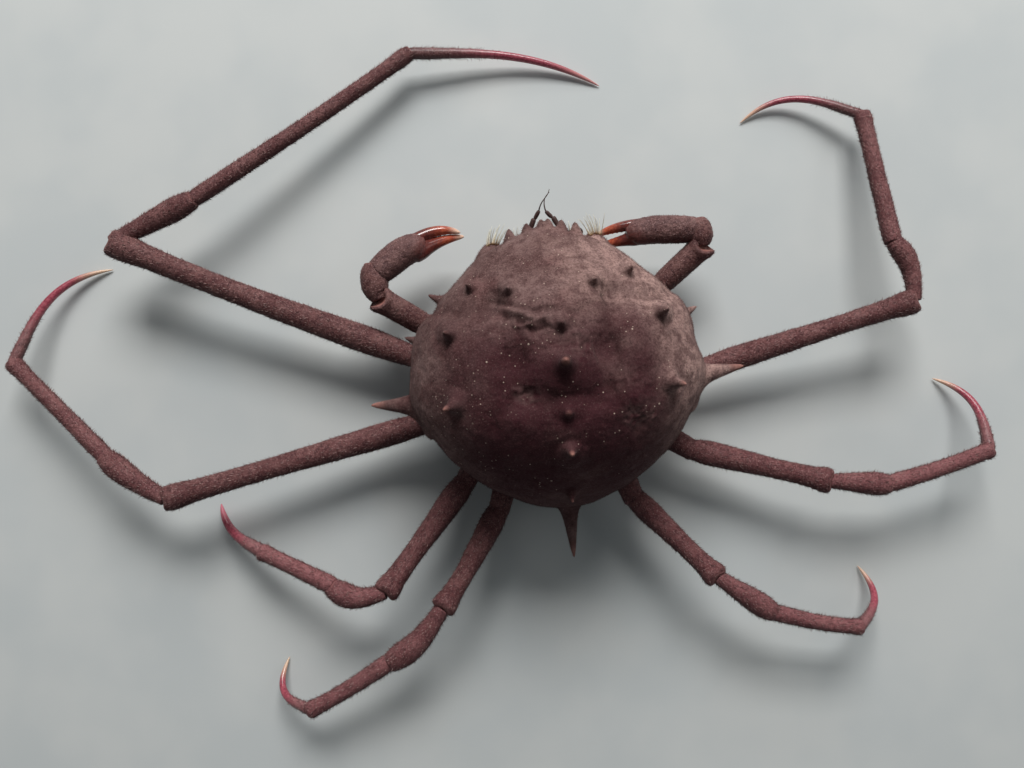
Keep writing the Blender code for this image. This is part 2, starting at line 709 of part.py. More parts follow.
clear_scene()
PARTS = bpy.data.collections.new("spider_crab")
CUTTERS = bpy.data.collections.new("cutters")
SPINES = bpy.data.collections.new("spines")
EXTRAS = bpy.data.collections.new("fixed_fingers")
for group in (PARTS, CUTTERS, SPINES, EXTRAS):
    bpy.context.scene.collection.children.link(group)
MATERIALS = {name: make_material(name) for name in COLOURS}
make_body(PARTS, CUTTERS, SPINES)
for crab_limb in LIMBS:
    make_limb(crab_limb, PARTS, CUTTERS, EXTRAS)
make_stump(PARTS, CUTTERS)
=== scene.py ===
"""Looks of the spider crab model: shell, limbs, short coat, materials, light and camera.

Lengths are in millimetres until a mesh is made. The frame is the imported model's: the head faces
-Y, the animal's left is +X and the floor is at z = 0.
"""
import math
from collections import namedtuple

import bpy
import numpy as np
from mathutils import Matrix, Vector


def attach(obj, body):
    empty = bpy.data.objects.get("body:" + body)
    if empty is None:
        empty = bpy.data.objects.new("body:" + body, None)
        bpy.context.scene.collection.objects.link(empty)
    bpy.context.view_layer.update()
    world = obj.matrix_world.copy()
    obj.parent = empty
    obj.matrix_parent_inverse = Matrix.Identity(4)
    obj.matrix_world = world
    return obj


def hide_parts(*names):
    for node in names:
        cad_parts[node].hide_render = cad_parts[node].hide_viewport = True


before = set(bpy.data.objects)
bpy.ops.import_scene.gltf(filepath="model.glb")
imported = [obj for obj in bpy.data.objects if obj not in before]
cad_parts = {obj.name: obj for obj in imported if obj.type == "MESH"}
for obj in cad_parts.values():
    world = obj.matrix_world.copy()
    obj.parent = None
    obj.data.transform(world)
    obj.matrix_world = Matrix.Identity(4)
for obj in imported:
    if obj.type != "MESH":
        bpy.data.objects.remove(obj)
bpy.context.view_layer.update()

MM = 0.001
TAU = math.tau

# Camera: straight above, through an assumed lens, turned about the vertical as the photo is.
CAMERA_PLACE = (7.22, 2.25, 143.0)
CAMERA_TURN = 173.9
CAMERA_LENS = 28.0
CAMERA_SENSOR = 36.0

# Carapace rings, front to rear: y, half width, height of the margin, top, underside.
BODY_RINGS = (
    (-21.8, 1.4, 17.0, 18.2, 15.8),
    (-21.2, 3.0, 16.6, 18.9, 13.8),
    (-20.2, 5.6, 16.0, 19.9, 11.6),
    (-18.2, 10.5, 15.4, 21.6, 9.4),
    (-13.2, 16.0, 15.0, 25.0, 8.6),
    (-8.0, 21.0, 15.0, 28.0, 8.6),
    (-2.0, 23.2, 15.0, 30.2, 8.6),
    (4.0, 23.4, 14.8, 31.0, 8.6),
    (10.0, 20.4, 14.2, 30.0, 8.5),
    (15.0, 16.6, 13.4, 27.0, 8.3),
    (19.5, 11.0, 12.4, 22.0, 8.0),
    (22.3, 5.5, 11.4, 16.5, 8.2),
    (23.3, 1.5, 11.0, 12.5, 9.4),
)
THORAX_RINGS = (
    (-18.6, 5.0, 11.0, 14.0, 8.4),
    (-16.0, 8.6, 10.0, 14.0, 5.4),
    (-13.0, 11.0, 9.5, 14.0, 3.2),
    (-8.0, 13.6, 9.5, 14.0, 1.6),
    (-2.0, 14.6, 9.5, 14.0, 1.2),
    (4.0, 14.6, 9.5, 14.0, 1.2),
    (10.0, 13.6, 9.5, 14.0, 1.7),
    (15.0, 11.2, 9.5, 14.0, 2.8),
    (18.5, 8.4, 9.5, 14.0, 4.2),
    (20.6, 5.6, 10.0, 14.0, 6.2),
    (21.4, 3.0, 10.5, 14.0, 8.2),
)
ABDOMEN_RINGS = (
    (-9.0, 3.0, 2.2, 3.4, 0.8),
    (-7.6, 6.0, 2.2, 3.6, 0.0),
    (-4.0, 9.0, 2.2, 3.6, -0.2),
    (1.0, 10.8, 2.2, 3.6, -0.2),
    (6.0, 10.8, 2.3, 3.8, -0.2),
    (11.0, 9.4, 2.8, 4.4, 0.2),
    (15.0, 7.6, 3.8, 5.8, 1.3),
    (18.6, 6.0, 5.4, 7.6, 2.8),
    (21.0, 5.0, 7.0, 8.6, 4.9),
    (22.4, 4.2, 8.0, 8.8, 7.2),
)
TOP_CURVE = 2.2
UNDERSIDE_CURVE = 2.6
CARAPACE_EDGE = 9.3
SOMITE_EDGES = (-3.2, 3.6, 8.4, 12.6, 16.2, 19.4)
SOMITE_GROOVE = 0.45
SOMITE_GROOVE_WIDTH = 0.7

# Swellings and furrows of the carapace: x, y, reach, height; those off the midline are paired.
REGIONS = (
    (0.0, -8.5, 6.5, 1.0),
    (0.0, 1.0, 4.0, 1.0),
    (0.0, 9.5, 4.6, 1.2),
    (13.2, -3.6, 5.6, 1.3),
    (12.0, 8.6, 5.4, 1.1),
    (8.2, 6.4, 2.6, 0.7),
    (6.4, -1.0, 2.4, -1.2),
    (5.6, 4.5, 2.2, -1.0),
    (9.8, -9.0, 2.4, -0.9),
    (0.0, 5.6, 2.4, -0.5),
)

# Spines of the midline: x, y, length, root radius, lean to the rear in degrees, paleness of the tip.
MEDIAN_SPINES = (
    (-0.6, -5.4, 2.1, 1.7, -8.0, 0.0),
    (-0.4, 0.4, 4.0, 2.7, -10.0, 0.7),
    (-0.2, 7.0, 1.6, 2.3, 5.0, 0.2),
    (-0.1, 12.2, 3.0, 2.0, 16.0, 1.0),
    (0.0, 19.6, 2.0, 1.4, 48.0, 0.8),
)
# Paired spines on the back: x, y, length, root radius, azimuth, elevation, paleness of the tip.
BACK_SPINES = (
    (11.7, -12.6, 2.2, 1.4, -40.0, 60.0, 0.0),
    (6.2, -11.4, 1.9, 1.5, -60.0, 75.0, 0.0),
    (15.3, -5.8, 3.0, 1.8, -20.0, 70.0, 0.1),
    (15.5, 4.3, 3.3, 2.0, 18.0, 54.0, 0.8),
)
# Paired spines of the edge: root x, y, z, length, root radius, azimuth, elevation, paleness.
EDGE_SPINES = (
    (21.3, -6.0, 15.2, 2.6, 1.6, -24.0, 6.0, 0.1),
    (22.0, 4.1, 14.8, 8.2, 3.3, -6.0, 3.0, 1.0),
)
SINGLE_SPINES = (
    (0.0, 21.6, 12.0, 10.6, 2.9, 90.0, -8.0, 0.5),
    (16.6, -11.9, 15.2, 3.0, 1.8, -30.0, 6.0, 0.1),
    (-16.6, -9.9, 15.6, 2.5, 1.7, -156.0, 6.0, 0.0),
)
HEAD_SHIFT = -0.35
# Paired teeth and lobes of the front: x, y, z, length, root radius, azimuth, elevation, shift to the left.
FRONT_TEETH = (
    (0.56, -21.2, 17.6, 1.95, 0.9, -90.0, 6.0, -0.55),
    (2.7, -20.9, 17.3, 1.9, 0.92, -88.0, 10.0, -0.42),
    (5.22, -20.1, 17.0, 2.15, 0.95, -89.0, 0.0, -0.12),
    (7.5, -19.2, 15.0, 1.4, 0.95, -80.0, -4.0, 0.0),
    (8.5, -18.7, 14.4, 2.0, 2.1, -84.0, -4.0, 0.0),
)
# Shares of the root's radius along a spine; below the root it flares into the shell.
SPINE_PROFILE = (
    (-1.0, 1.9), (-0.45, 1.45), (-0.2, 1.22), (0.0, 1.0), (0.14, 0.68),
    (0.4, 0.4), (0.75, 0.23), (0.93, 0.12), (1.0, 0.04),
)
EDGE_PROFILE = (
    (-1.0, 1.1), (-0.4, 1.1), (0.0, 0.96), (0.08, 0.78), (0.16, 0.63), (0.28, 0.48),
    (0.42, 0.38), (0.6, 0.29), (0.78, 0.2), (0.92, 0.12), (1.0, 0.03),
)
# How much wider an edge spine is to its sides and above than below.
EDGE_FLARE = ((-1.0, 1.6), (-0.5, 1.4), (-0.15, 1.24), (0.06, 1.12), (0.2, 1.02), (0.4, 1.0), (1.0, 1.0))
TOOTH_PROFILE = ((-1.0, 1.35), (0.0, 1.12), (0.3, 0.92), (0.6, 0.66), (0.85, 0.38), (1.0, 0.12))
SPINE_SINK = 1.6

# Where the outline draws in between the spines of the edge: side, y, reach, depth.
DENTS = ((-1.0, -1.6, 3.4, 0.95), (1.0, -1.0, 3.4, 0.3))

# Rough patches of the carapace: x, y, reach across, reach along, height, paleness.
RUGOSE = (
    (3.0, -5.6, 5.6, 2.8, 0.5, 0.1),
    (-2.3, -2.6, 3.0, 2.6, 0.45, 0.2),
    (5.8, 4.1, 2.2, 1.4, 0.55, 0.4),
    (-10.4, 8.5, 2.4, 1.8, 0.5, 0.4),
    (-9.5, 3.0, 3.0, 2.0, 0.25, 0.1),
    (9.0, -6.0, 2.4, 2.0, 0.3, 0.1),
)
# Painted shade in the shell's hollows: x, y, reach.
PAINTED_HOLLOW_SHADES = (
    (7.6, 3.0, 2.8),
    (-7.1, 8.0, 2.2),
    (-6.8, 2.6, 2.4),
    (0.0, 3.2, 2.4),
)
# Furrows and ridges between the regions of the shell: places on the line, depth and width.
FURROWS = (
    (((9.0, -10.8), (7.6, -8.0), (6.6, -4.7), (6.3, -1.2), (6.6, 2.4), (7.9, 4.6), (10.2, 7.1)), 0.5, 1.7),
    (((-8.6, -10.4), (-7.6, -7.4), (-7.0, -3.8), (-7.0, -0.7), (-7.2, 3.0), (-7.6, 6.6), (-10.2, 10.6)),
     0.5, 1.7),
    (((5.8, 4.2), (3.0, 5.2), (0.2, 5.6), (-3.4, 5.5), (-6.3, 6.6)), 0.3, 1.1),
    (((8.4, -10.2), (6.2, -9.2), (3.4, -7.8), (0.4, -7.9), (-3.1, -7.0), (-6.5, -8.8)), 0.35, 0.55),
    (((8.2, -9.3), (5.6, -8.1), (2.6, -6.5), (0.9, -6.7)), -0.45, 0.55),
    (((7.4, -7.6), (5.2, -6.6), (3.6, -5.0), (1.6, -5.4)), 0.4, 0.55),
    (((18.6, -10.6), (14.6, -9.2), (11.0, -9.4), (8.4, -10.2)), 0.6, 1.3),
    (((-18.4, -9.6), (-14.5, -9.0), (-11.0, -9.0), (-8.4, -9.8)), 0.6, 1.3),
)

# Shapes of a limb's pieces: share of the length, share of the radius.
BASE_PROFILE = (
    (0.0, 1.18), (0.4, 1.24), (0.52, 1.16), (0.58, 0.98), (0.64, 1.02), (0.8, 1.1), (1.0, 1.02),
)
MERUS_PROFILE = (
    (0.0, 0.9), (0.04, 1.0), (0.15, 1.14), (0.4, 1.02), (0.65, 0.9),
    (0.88, 0.98), (0.95, 1.14), (0.985, 1.16), (1.0, 1.06),
)
CARPUS_PROFILE = (
    (0.0, 0.72), (0.15, 0.8), (0.45, 1.0), (0.68, 1.16), (0.82, 1.18), (0.93, 1.06), (1.0, 0.9),
)
PROPODUS_PROFILE = (
    (0.0, 0.98), (0.05, 1.06), (0.13, 1.08), (0.3, 1.02), (0.7, 0.96),
    (0.9, 0.99), (0.95, 1.08), (0.98, 1.04), (1.0, 0.9),
)
DACTYL_PROFILE = (
    (0.0, 1.0), (0.06, 1.12), (0.18, 1.02), (0.34, 0.88), (0.5, 0.8),
    (0.66, 0.72), (0.8, 0.6), (0.91, 0.4), (0.975, 0.2), (1.0, 0.05),
)
CLAW_MERUS_PROFILE = (
    (0.0, 0.88), (0.12, 0.96), (0.5, 1.0), (0.82, 1.02), (0.92, 1.12), (0.98, 1.1), (1.0, 0.98),
)
CLAW_CARPUS_PROFILE = (
    (0.0, 0.62), (0.25, 0.88), (0.5, 1.03), (0.72, 1.06), (0.86, 1.0), (0.95, 0.88), (1.0, 0.76),
)
PALM_PROFILE = (
    (0.0, 0.72), (0.06, 0.88), (0.18, 0.98), (0.45, 1.04),
    (0.72, 1.02), (0.86, 0.97), (0.95, 0.84), (1.0, 0.62),
)
FINGER_PROFILE = (
    (0.0, 1.25), (0.16, 1.3), (0.3, 1.28), (0.5, 1.16),
    (0.7, 0.95), (0.88, 0.64), (0.97, 0.34), (1.0, 0.06),
)
FIXED_FINGER_PROFILE = (
    (0.0, 1.9), (0.16, 1.84), (0.3, 1.52), (0.5, 1.18),
    (0.7, 0.92), (0.88, 0.62), (0.97, 0.34), (1.0, 0.06),
)
BOW_LATE = 1.25
ROOTS = {
    "claw": (9.5, -7.5, 6.2),
    "leg_1": (10.0, -3.5, 6.0),
    "leg_2": (10.0, 2.2, 6.0),
    "leg_3": (9.5, 7.6, 6.2),
    "leg_4": (7.5, 12.0, 6.4),
}
BASE_RADIUS = 1.75
STUMP_END = (-15.9, -4.5, 6.2)

# A limb's tone runs from 0, brown, to 1, red; its tip's paleness from 0, pink, to 1, cream;
# its blush is how pink its outer pieces are.
Piece = namedtuple("Piece", "name length azimuth elevation bow radius")
Limb = namedtuple("Limb", "name root side start tone tip blush pieces")
LIMBS = (
    Limb("leg_left_1", "leg_1", 1, (23.7, -4.3, 6.9), 0.35, 0.25, 0.06, (
        Piece("merus", 53.0, -26.9, 3.9, 0.5, 2.0),
        Piece("carpus", 14.7, -156.6, -3.9, 0.0, 1.6),
        Piece("propodus", 45.0, -149.3, -6.4, -0.3, 1.28),
        Piece("dactyl", 34.1, 166.8, -7.1, 2.5, 0.85))),
    Limb("leg_left_2", "leg_2", 1, (21.9, 7.2, 6.6), 0.45, 0.9, 0.15, (
        Piece("merus", 45.7, 10.1, 4.3, 0.0, 1.85),
        Piece("carpus", 12.5, -39.5, -4.6, 0.5, 1.65),
        Piece("propodus", 23.7, -48.8, -6.1, 0.0, 1.32),
        Piece("dactyl", 22.8, -136.1, -15.8, 3.8, 0.85))),
    Limb("leg_left_3", "leg_3", 1, (16.7, 17.7, 6.9), 0.55, 0.0, 0.42, (
        Piece("merus", 22.7, 47.9, 10.4, 0.0, 1.85),
        Piece("carpus", 8.8, -11.2, -3.3, 1.5, 1.65),
        Piece("propodus", 14.9, -25.8, -17.6, 0.0, 1.35),
        Piece("dactyl", 13.0, -45.4, -26.0, 1.6, 1.0))),
    Limb("leg_left_4", "leg_4", 1, (11.6, 23.1, 6.9), 0.5, 0.9, 0.35, (
        Piece("merus", 18.8, 53.5, 12.6, 0.3, 1.8),
        Piece("carpus", 13.0, 40.6, -6.6, 1.0, 1.75),
        Piece("propodus", 16.9, 26.6, -6.8, 0.3, 1.35),
        Piece("dactyl", 11.2, -56.9, -40.1, 3.2, 0.8))),
    Limb("leg_right_2", "leg_2", -1, (-25.1, 3.2, 6.5), 0.45, 0.8, 0.15, (
        Piece("merus", 36.8, -168.0, 6.2, 0.0, 1.75),
        Piece("carpus", 10.4, -78.6, -5.5, -1.2, 1.4),
        Piece("propodus", 23.9, -88.7, -12.1, 0.0, 1.35),
        Piece("dactyl", 20.5, -5.5, -11.8, -3.6, 0.75))),
    Limb("leg_right_3", "leg_3", -1, (-21.8, 16.5, 7.0), 0.6, 0.8, 0.35, (
        Piece("merus", 23.3, 161.2, 7.4, 0.0, 1.8),
        Piece("carpus", 9.9, 170.5, 0.0, 0.0, 1.6),
        Piece("propodus", 18.0, -167.2, 0.0, -0.3, 1.3),
        Piece("dactyl", 16.0, -75.1, -37.2, -3.0, 0.85))),
    Limb("leg_right_4", "leg_4", -1, (-11.3, 23.5, 7.0), 0.6, 0.8, 0.35, (
        Piece("merus", 18.8, 130.0, 12.3, 0.0, 1.75),
        Piece("carpus", 11.2, 141.2, -2.6, 0.0, 1.6),
        Piece("propodus", 15.7, 163.3, -5.5, -0.4, 1.25),
        Piece("dactyl", 12.4, -117.1, -44.4, -2.9, 0.8))),
    Limb("claw_left", "claw", 1, (20.9, -9.3, 7.1), 0.1, 1.0, 0.0, (
        Piece("merus", 8.7, -35.7, 19.5, 0.0, 2.05),
        Piece("carpus", 4.2, -84.0, 0.0, 0.4, 2.15),
        Piece("palm", 9.4, -148.5, -6.0, 0.35, 2.4))),
    Limb("claw_right", "claw", -1, (-19.8, -11.9, 7.1), 0.1, 1.0, 0.0, (
        Piece("merus", 9.3, -142.6, 18.2, 0.0, 2.0),
        Piece("carpus", 2.9, -84.5, 0.0, 0.0, 2.0),
        Piece("palm", 11.5, -6.2, -5.0, 0.0, 2.25))),
)
FINGERS = {
    "claw_left": ((13.2, -24.2, 7.6), 1.1, (12.6, -23.7, 6.6), 0.55, 0.82),
    "claw_right": ((-9.5, -21.2, 7.6), 0.4, (-9.4, -19.6, 6.6), 0.0, 0.72),
}
FINGER_ROOT_SPREAD = 1.1
FINGER_SINK = 2.0

EYE_ROOT = (4.9, -18.8, 15.9)
EYE_TIP = (5.7, -21.5, 15.9)
EYE_RADIUS = 0.8

# Antennae: points of the three stout joints and of the thin flagellum, left then right.
ANTENNAE = {
    "antenna_left": (
        ((2.0, -20.8, 15.3), (1.66, -22.39, 15.5)),
        ((1.64, -22.2, 15.5), (0.92, -23.6, 16.0)),
        ((0.84, -23.5, 16.0), (0.04, -24.62, 16.6)),
        ((0.08, -24.5, 16.5), (-0.02, -24.9, 16.9), (-0.4, -25.56, 17.6),
         (-0.98, -26.19, 18.0), (-1.53, -26.8, 18.2), (-1.83, -27.49, 18.2)),
    ),
    "antenna_right": (
        ((-3.1, -20.9, 15.3), (-2.84, -22.5, 15.5)),
        ((-2.76, -22.25, 15.5), (-2.1, -23.6, 15.85)),
        ((-1.98, -23.5, 15.85), (-1.03, -24.54, 16.1)),
        ((-1.1, -24.4, 16.1), (-0.98, -24.8, 16.2), (-0.89, -25.52, 16.4),
         (-1.04, -26.43, 16.4), (-1.46, -27.04, 16.4), (-1.91, -27.46, 16.4)),
    ),
}
ANTENNA_RADII = (0.4, 0.42, 0.32, 0.12)

# Fans of long bristles of the front: place, count, length, half width, spread and azimuth in degrees.
BRISTLE_FANS = (
    ((7.95, -20.55, 15.4), 12, 3.5, 1.0, 15.0, -104.0),
    ((-8.55, -20.45, 15.4), 12, 3.5, 1.0, 16.0, -84.0),
    ((4.25, -20.4, 16.4), 3, 2.5, 0.3, 6.0, -94.0),
    ((-4.4, -20.6, 16.4), 3, 2.7, 0.2, 5.0, -90.0),
)


def unit(rows):
    """Vectors scaled to length one."""
    return rows / np.maximum(np.linalg.norm(rows, axis=-1, keepdims=True), 1e-9)


def direction(azimuth, elevation):
    """A unit vector from two angles in degrees."""
    azimuth, elevation = math.radians(azimuth), math.radians(elevation)
    flat = math.cos(elevation)
    return np.array((flat * math.cos(azimuth), flat * math.sin(azimuth), math.sin(elevation)))


def left_of(way):
    """The level unit vector to the left of a way."""
    return unit(np.array((-way[1], way[0], 0.0)))


def mirrored(place, side):
    """A place given for the left side, on either side."""
    return np.array((place[0] * side, place[1], place[2]), dtype=float)


def cell_value(cells, seed):
    """A fixed number from 0 to 1 for each cell of a lattice."""
    mixed = cells @ np.array((73856093, 19349663, 83492791)) + seed * 2654435761
    mixed = (mixed ^ (mixed >> 13)) & 0xFFFFFFFF
    mixed = (mixed * 1274126177) & 0xFFFFFFFF
    mixed = (mixed ^ (mixed >> 15)) & 0xFFFF
    return mixed / 65535.0


def lumps(points, size, seed=0):
    """Smooth noise from -1 to 1, with lumps about size across."""
    at = points / size + seed * 17.31
    cells = np.floor(at).astype(np.int64)
    t = at - cells
    t = t * t * t * (t * (t * 6.0 - 15.0) + 10.0)
    total = np.zeros(len(points))
    for corner in np.ndindex(2, 2, 2):
        corner = np.array(corner)
        weight = np.prod(np.where(corner, t, 1.0 - t), axis=1)
        total += weight * cell_value(cells + corner, seed)
    return total * 2.0 - 1.0


def layered(points, size, layers, seed=0):
    """Noise from -1 to 1 in layers, each half as large and half as strong as the last."""
    total = sum(lumps(points, size / 2**k, seed + k) / 2**k for k in range(layers))
    return total / (2.0 - 0.5**(layers - 1))


def creases(points, size, layers, seed=0):
    """Wrinkled noise from 0 to 1, with narrow ridges."""
    total = 0.0
    for k in range(layers):
        total = total + (1.0 - 2.0 * np.abs(lumps(points, size / 2**k, seed + k))) / 2**k
    return np.clip(total / (2.0 - 0.5**(layers - 1)), 0.0, 1.0)


def grains(points, size, seed=0):
    """Height from 0 to 1 of round grains scattered one to a cell, and a fixed number for each."""
    at = points / size
    cells = np.floor(at).astype(np.int64)
    nearest = np.full(len(points), 9.0)
    value = np.zeros(len(points))
    for step in np.ndindex(3, 3, 3):
        cell = cells + np.array(step) - 1
        centre = np.stack([cell_value(cell, seed + k) for k in range(3)], axis=1) * 0.7 + 0.15 + cell
        distance = np.linalg.norm(at - centre, axis=1)
        closer = distance < nearest
        nearest = np.where(closer, distance, nearest)
        value = np.where(closer, cell_value(cell, seed + 9), value)
    return np.clip(1.0 - (nearest / (0.3 + 0.3 * value))**2, 0.0, 1.0), value


def curve_values(table, places):
    """Read a table of place and values on one smooth curve through its rows."""
    table = np.array(table, dtype=float)
    places = np.asarray(places, dtype=float)
    low = np.clip(np.searchsorted(table[:, 0], places) - 1, 0, len(table) - 2)
    before, after = np.maximum(low - 1, 0), np.minimum(low + 2, len(table) - 1)
    before, low, high, after = table[before], table[low], table[low + 1], table[after]
    span = high[:, :1] - low[:, :1]
    t = (places[:, None] - low[:, :1]) / span
    slope_low = (high - before) / (high[:, :1] - before[:, :1]) * span
    slope_high = (after - low) / (after[:, :1] - low[:, :1]) * span
    values = (2 * t**3 - 3 * t**2 + 1) * low + (t**3 - 2 * t**2 + t) * slope_low
    values += (3 * t**2 - 2 * t**3) * high + (t**3 - t**2) * slope_high
    return values[:, 1:]


def smooth_path(points, count):
    """A smooth path of count places through some points."""
    points = np.array(points, dtype=float)
    reach = np.concatenate(([0.0], np.cumsum(np.linalg.norm(np.diff(points, axis=0), axis=1))))
    table = np.column_stack((reach / reach[-1], points))
    return curve_values(table, np.linspace(0.0, 1.0, count))


def new_mesh(name, verts, polygons):
    """A mesh from places in mm and arrays of three- or four-cornered faces."""
    mesh = bpy.data.meshes.new(name)
    mesh.vertices.add(len(verts))
    mesh.vertices.foreach_set("co", (np.asarray(verts) * MM).astype(np.float32).ravel())
    corners = np.concatenate([rows.ravel() for rows in polygons]).astype(np.int32)
    sizes = np.concatenate([np.full(len(rows), rows.shape[1]) for rows in polygons])
    mesh.loops.add(len(corners))
    mesh.loops.foreach_set("vertex_index", corners)
    mesh.polygons.add(len(sizes))
    mesh.polygons.foreach_set("loop_start", (np.cumsum(sizes) - sizes).astype(np.int32))
    mesh.update(calc_edges=True)
    return mesh


def add_piece(mesh, material, nodes=(), marks=None):
    """Show a mesh as a piece of the model, with its material and marks, hiding the parts it replaces."""
    mesh.materials.clear()
    mesh.materials.append(MATERIALS[material])
    mesh.shade_smooth()
    for name, values in (marks or {}).items():
        attribute = mesh.attributes.new(name, "FLOAT", "POINT")
        attribute.data.foreach_set("value", np.full(len(mesh.vertices), values, dtype=np.float32))
    piece = bpy.data.objects.new(mesh.name, mesh)
    bpy.context.scene.collection.objects.link(piece)
    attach(piece, "root")
    if nodes:
        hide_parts(*nodes)


def vertex_data(mesh):
    """Places in mm and normals of a mesh's vertices."""
    count = len(mesh.vertices)
    places = np.empty(count * 3, dtype=np.float32)
    normals = np.empty(count * 3, dtype=np.float32)
    mesh.vertices.foreach_get("co", places)
    mesh.vertex_normals.foreach_get("vector", normals)
    return places.reshape(-1, 3).astype(float) / MM, normals.reshape(-1, 3).astype(float)


def move_vertices(mesh, places):
    """Put a mesh's vertices at places in mm."""
    mesh.vertices.foreach_set("co", (places * MM).astype(np.float32).ravel())
    mesh.update()


def relaxed(mesh, places, rounds, strength=0.5):
    """Places evened out along the mesh's edges."""
    ends = np.empty(len(mesh.edges) * 2, dtype=np.int32)
    mesh.edges.foreach_get("vertices", ends)
    first, second = ends.reshape(-1, 2).T
    count = len(places)
    shared = np.bincount(first, minlength=count) + np.bincount(second, minlength=count)
    for _ in range(rounds):
        middle = np.empty_like(places)
        for axis in range(3):
            total = np.bincount(first, places[second, axis], count)
            total += np.bincount(second, places[first, axis], count)
            middle[:, axis] = total / np.maximum(shared, 1)
        places = places + (middle - places) * strength
    return places


# A tube is a grid of places round a path: rings along it, and the angle round each ring.
Tube = namedtuple("Tube", "points normals share angle")


def round_tube(centres, radii, sides):
    """A tube round a path, with one radius for each ring or for each of its places."""
    centres = np.asarray(centres, dtype=float)
    way = unit(np.gradient(centres, axis=0))
    level = abs(way[len(way) // 2][2]) < 0.9
    left = unit(np.cross(np.array((0.0, 0.0, 1.0) if level else (1.0, 0.0, 0.0)), way))
    top = np.cross(way, left)
    angle = np.arange(sides) * TAU / sides
    across = left[:, None] * np.cos(angle)[None, :, None]
    rise = top[:, None] * np.sin(angle)[None, :, None]
    radii = np.asarray(radii, dtype=float)
    radii = radii if radii.ndim == 2 else np.repeat(radii[:, None], sides, axis=1)
    points = centres[:, None] + (across + rise) * radii[..., None]
    share = np.repeat(np.linspace(0.0, 1.0, len(centres))[:, None], sides, axis=1)
    return Tube(points, unit(across + rise), share, np.tile(angle, (len(centres), 1)))


def grid_faces(rings, sides):
    """Faces of a tube's grid and of its two closed ends, whose middles follow the grid."""
    ring = np.arange(rings - 1)[:, None] * sides
    step = np.arange(sides)
    after = (step + 1) % sides
    quads = np.stack((ring + step, ring + after, ring + sides + after, ring + sides + step), axis=-1)
    last = (rings - 1) * sides
    middle = np.full(sides, rings * sides)
    ends = np.concatenate((
        np.stack((middle, after, step), axis=1),
        np.stack((middle + 1, last + step, last + after), axis=1)))
    return [quads.reshape(-1, 4), ends]


def tube_part(points):
    """Places and faces of a closed tube, from the grid of its places."""
    ends = [points[0].mean(axis=0), points[-1].mean(axis=0)]
    return np.concatenate((points.reshape(-1, 3), ends)), grid_faces(*points.shape[:2])


def end_marks(values):
    """A tube's values for each vertex, with those of its two middles."""
    values = np.asarray(values)
    return np.concatenate((values.ravel(), [values[0].mean(), values[-1].mean()]))


def joined(parts):
    """One list of places and faces from several."""
    verts, faces, start = [], [], 0
    for places, polygons in parts:
        verts.append(places)
        faces += [rows + start for rows in polygons]
        start += len(places)
    return np.concatenate(verts), faces


def remeshed(name, parts, voxel, rounds):
    """One closed skin round some parts, with its places in mm."""
    verts, faces = joined(parts)
    rough = bpy.data.objects.new("rough", new_mesh("rough", verts, faces))
    bpy.context.scene.collection.objects.link(rough)
    remesh = rough.modifiers.new("skin", "REMESH")
    remesh.mode = "VOXEL"
    remesh.voxel_size = voxel * MM
    graph = bpy.context.evaluated_depsgraph_get()
    mesh = bpy.data.meshes.new_from_object(rough.evaluated_get(graph))
    mesh.name = name
    bpy.data.objects.remove(rough, do_unlink=True)
    places, _ = vertex_data(mesh)
    return mesh, relaxed(mesh, places, rounds)


# Materials


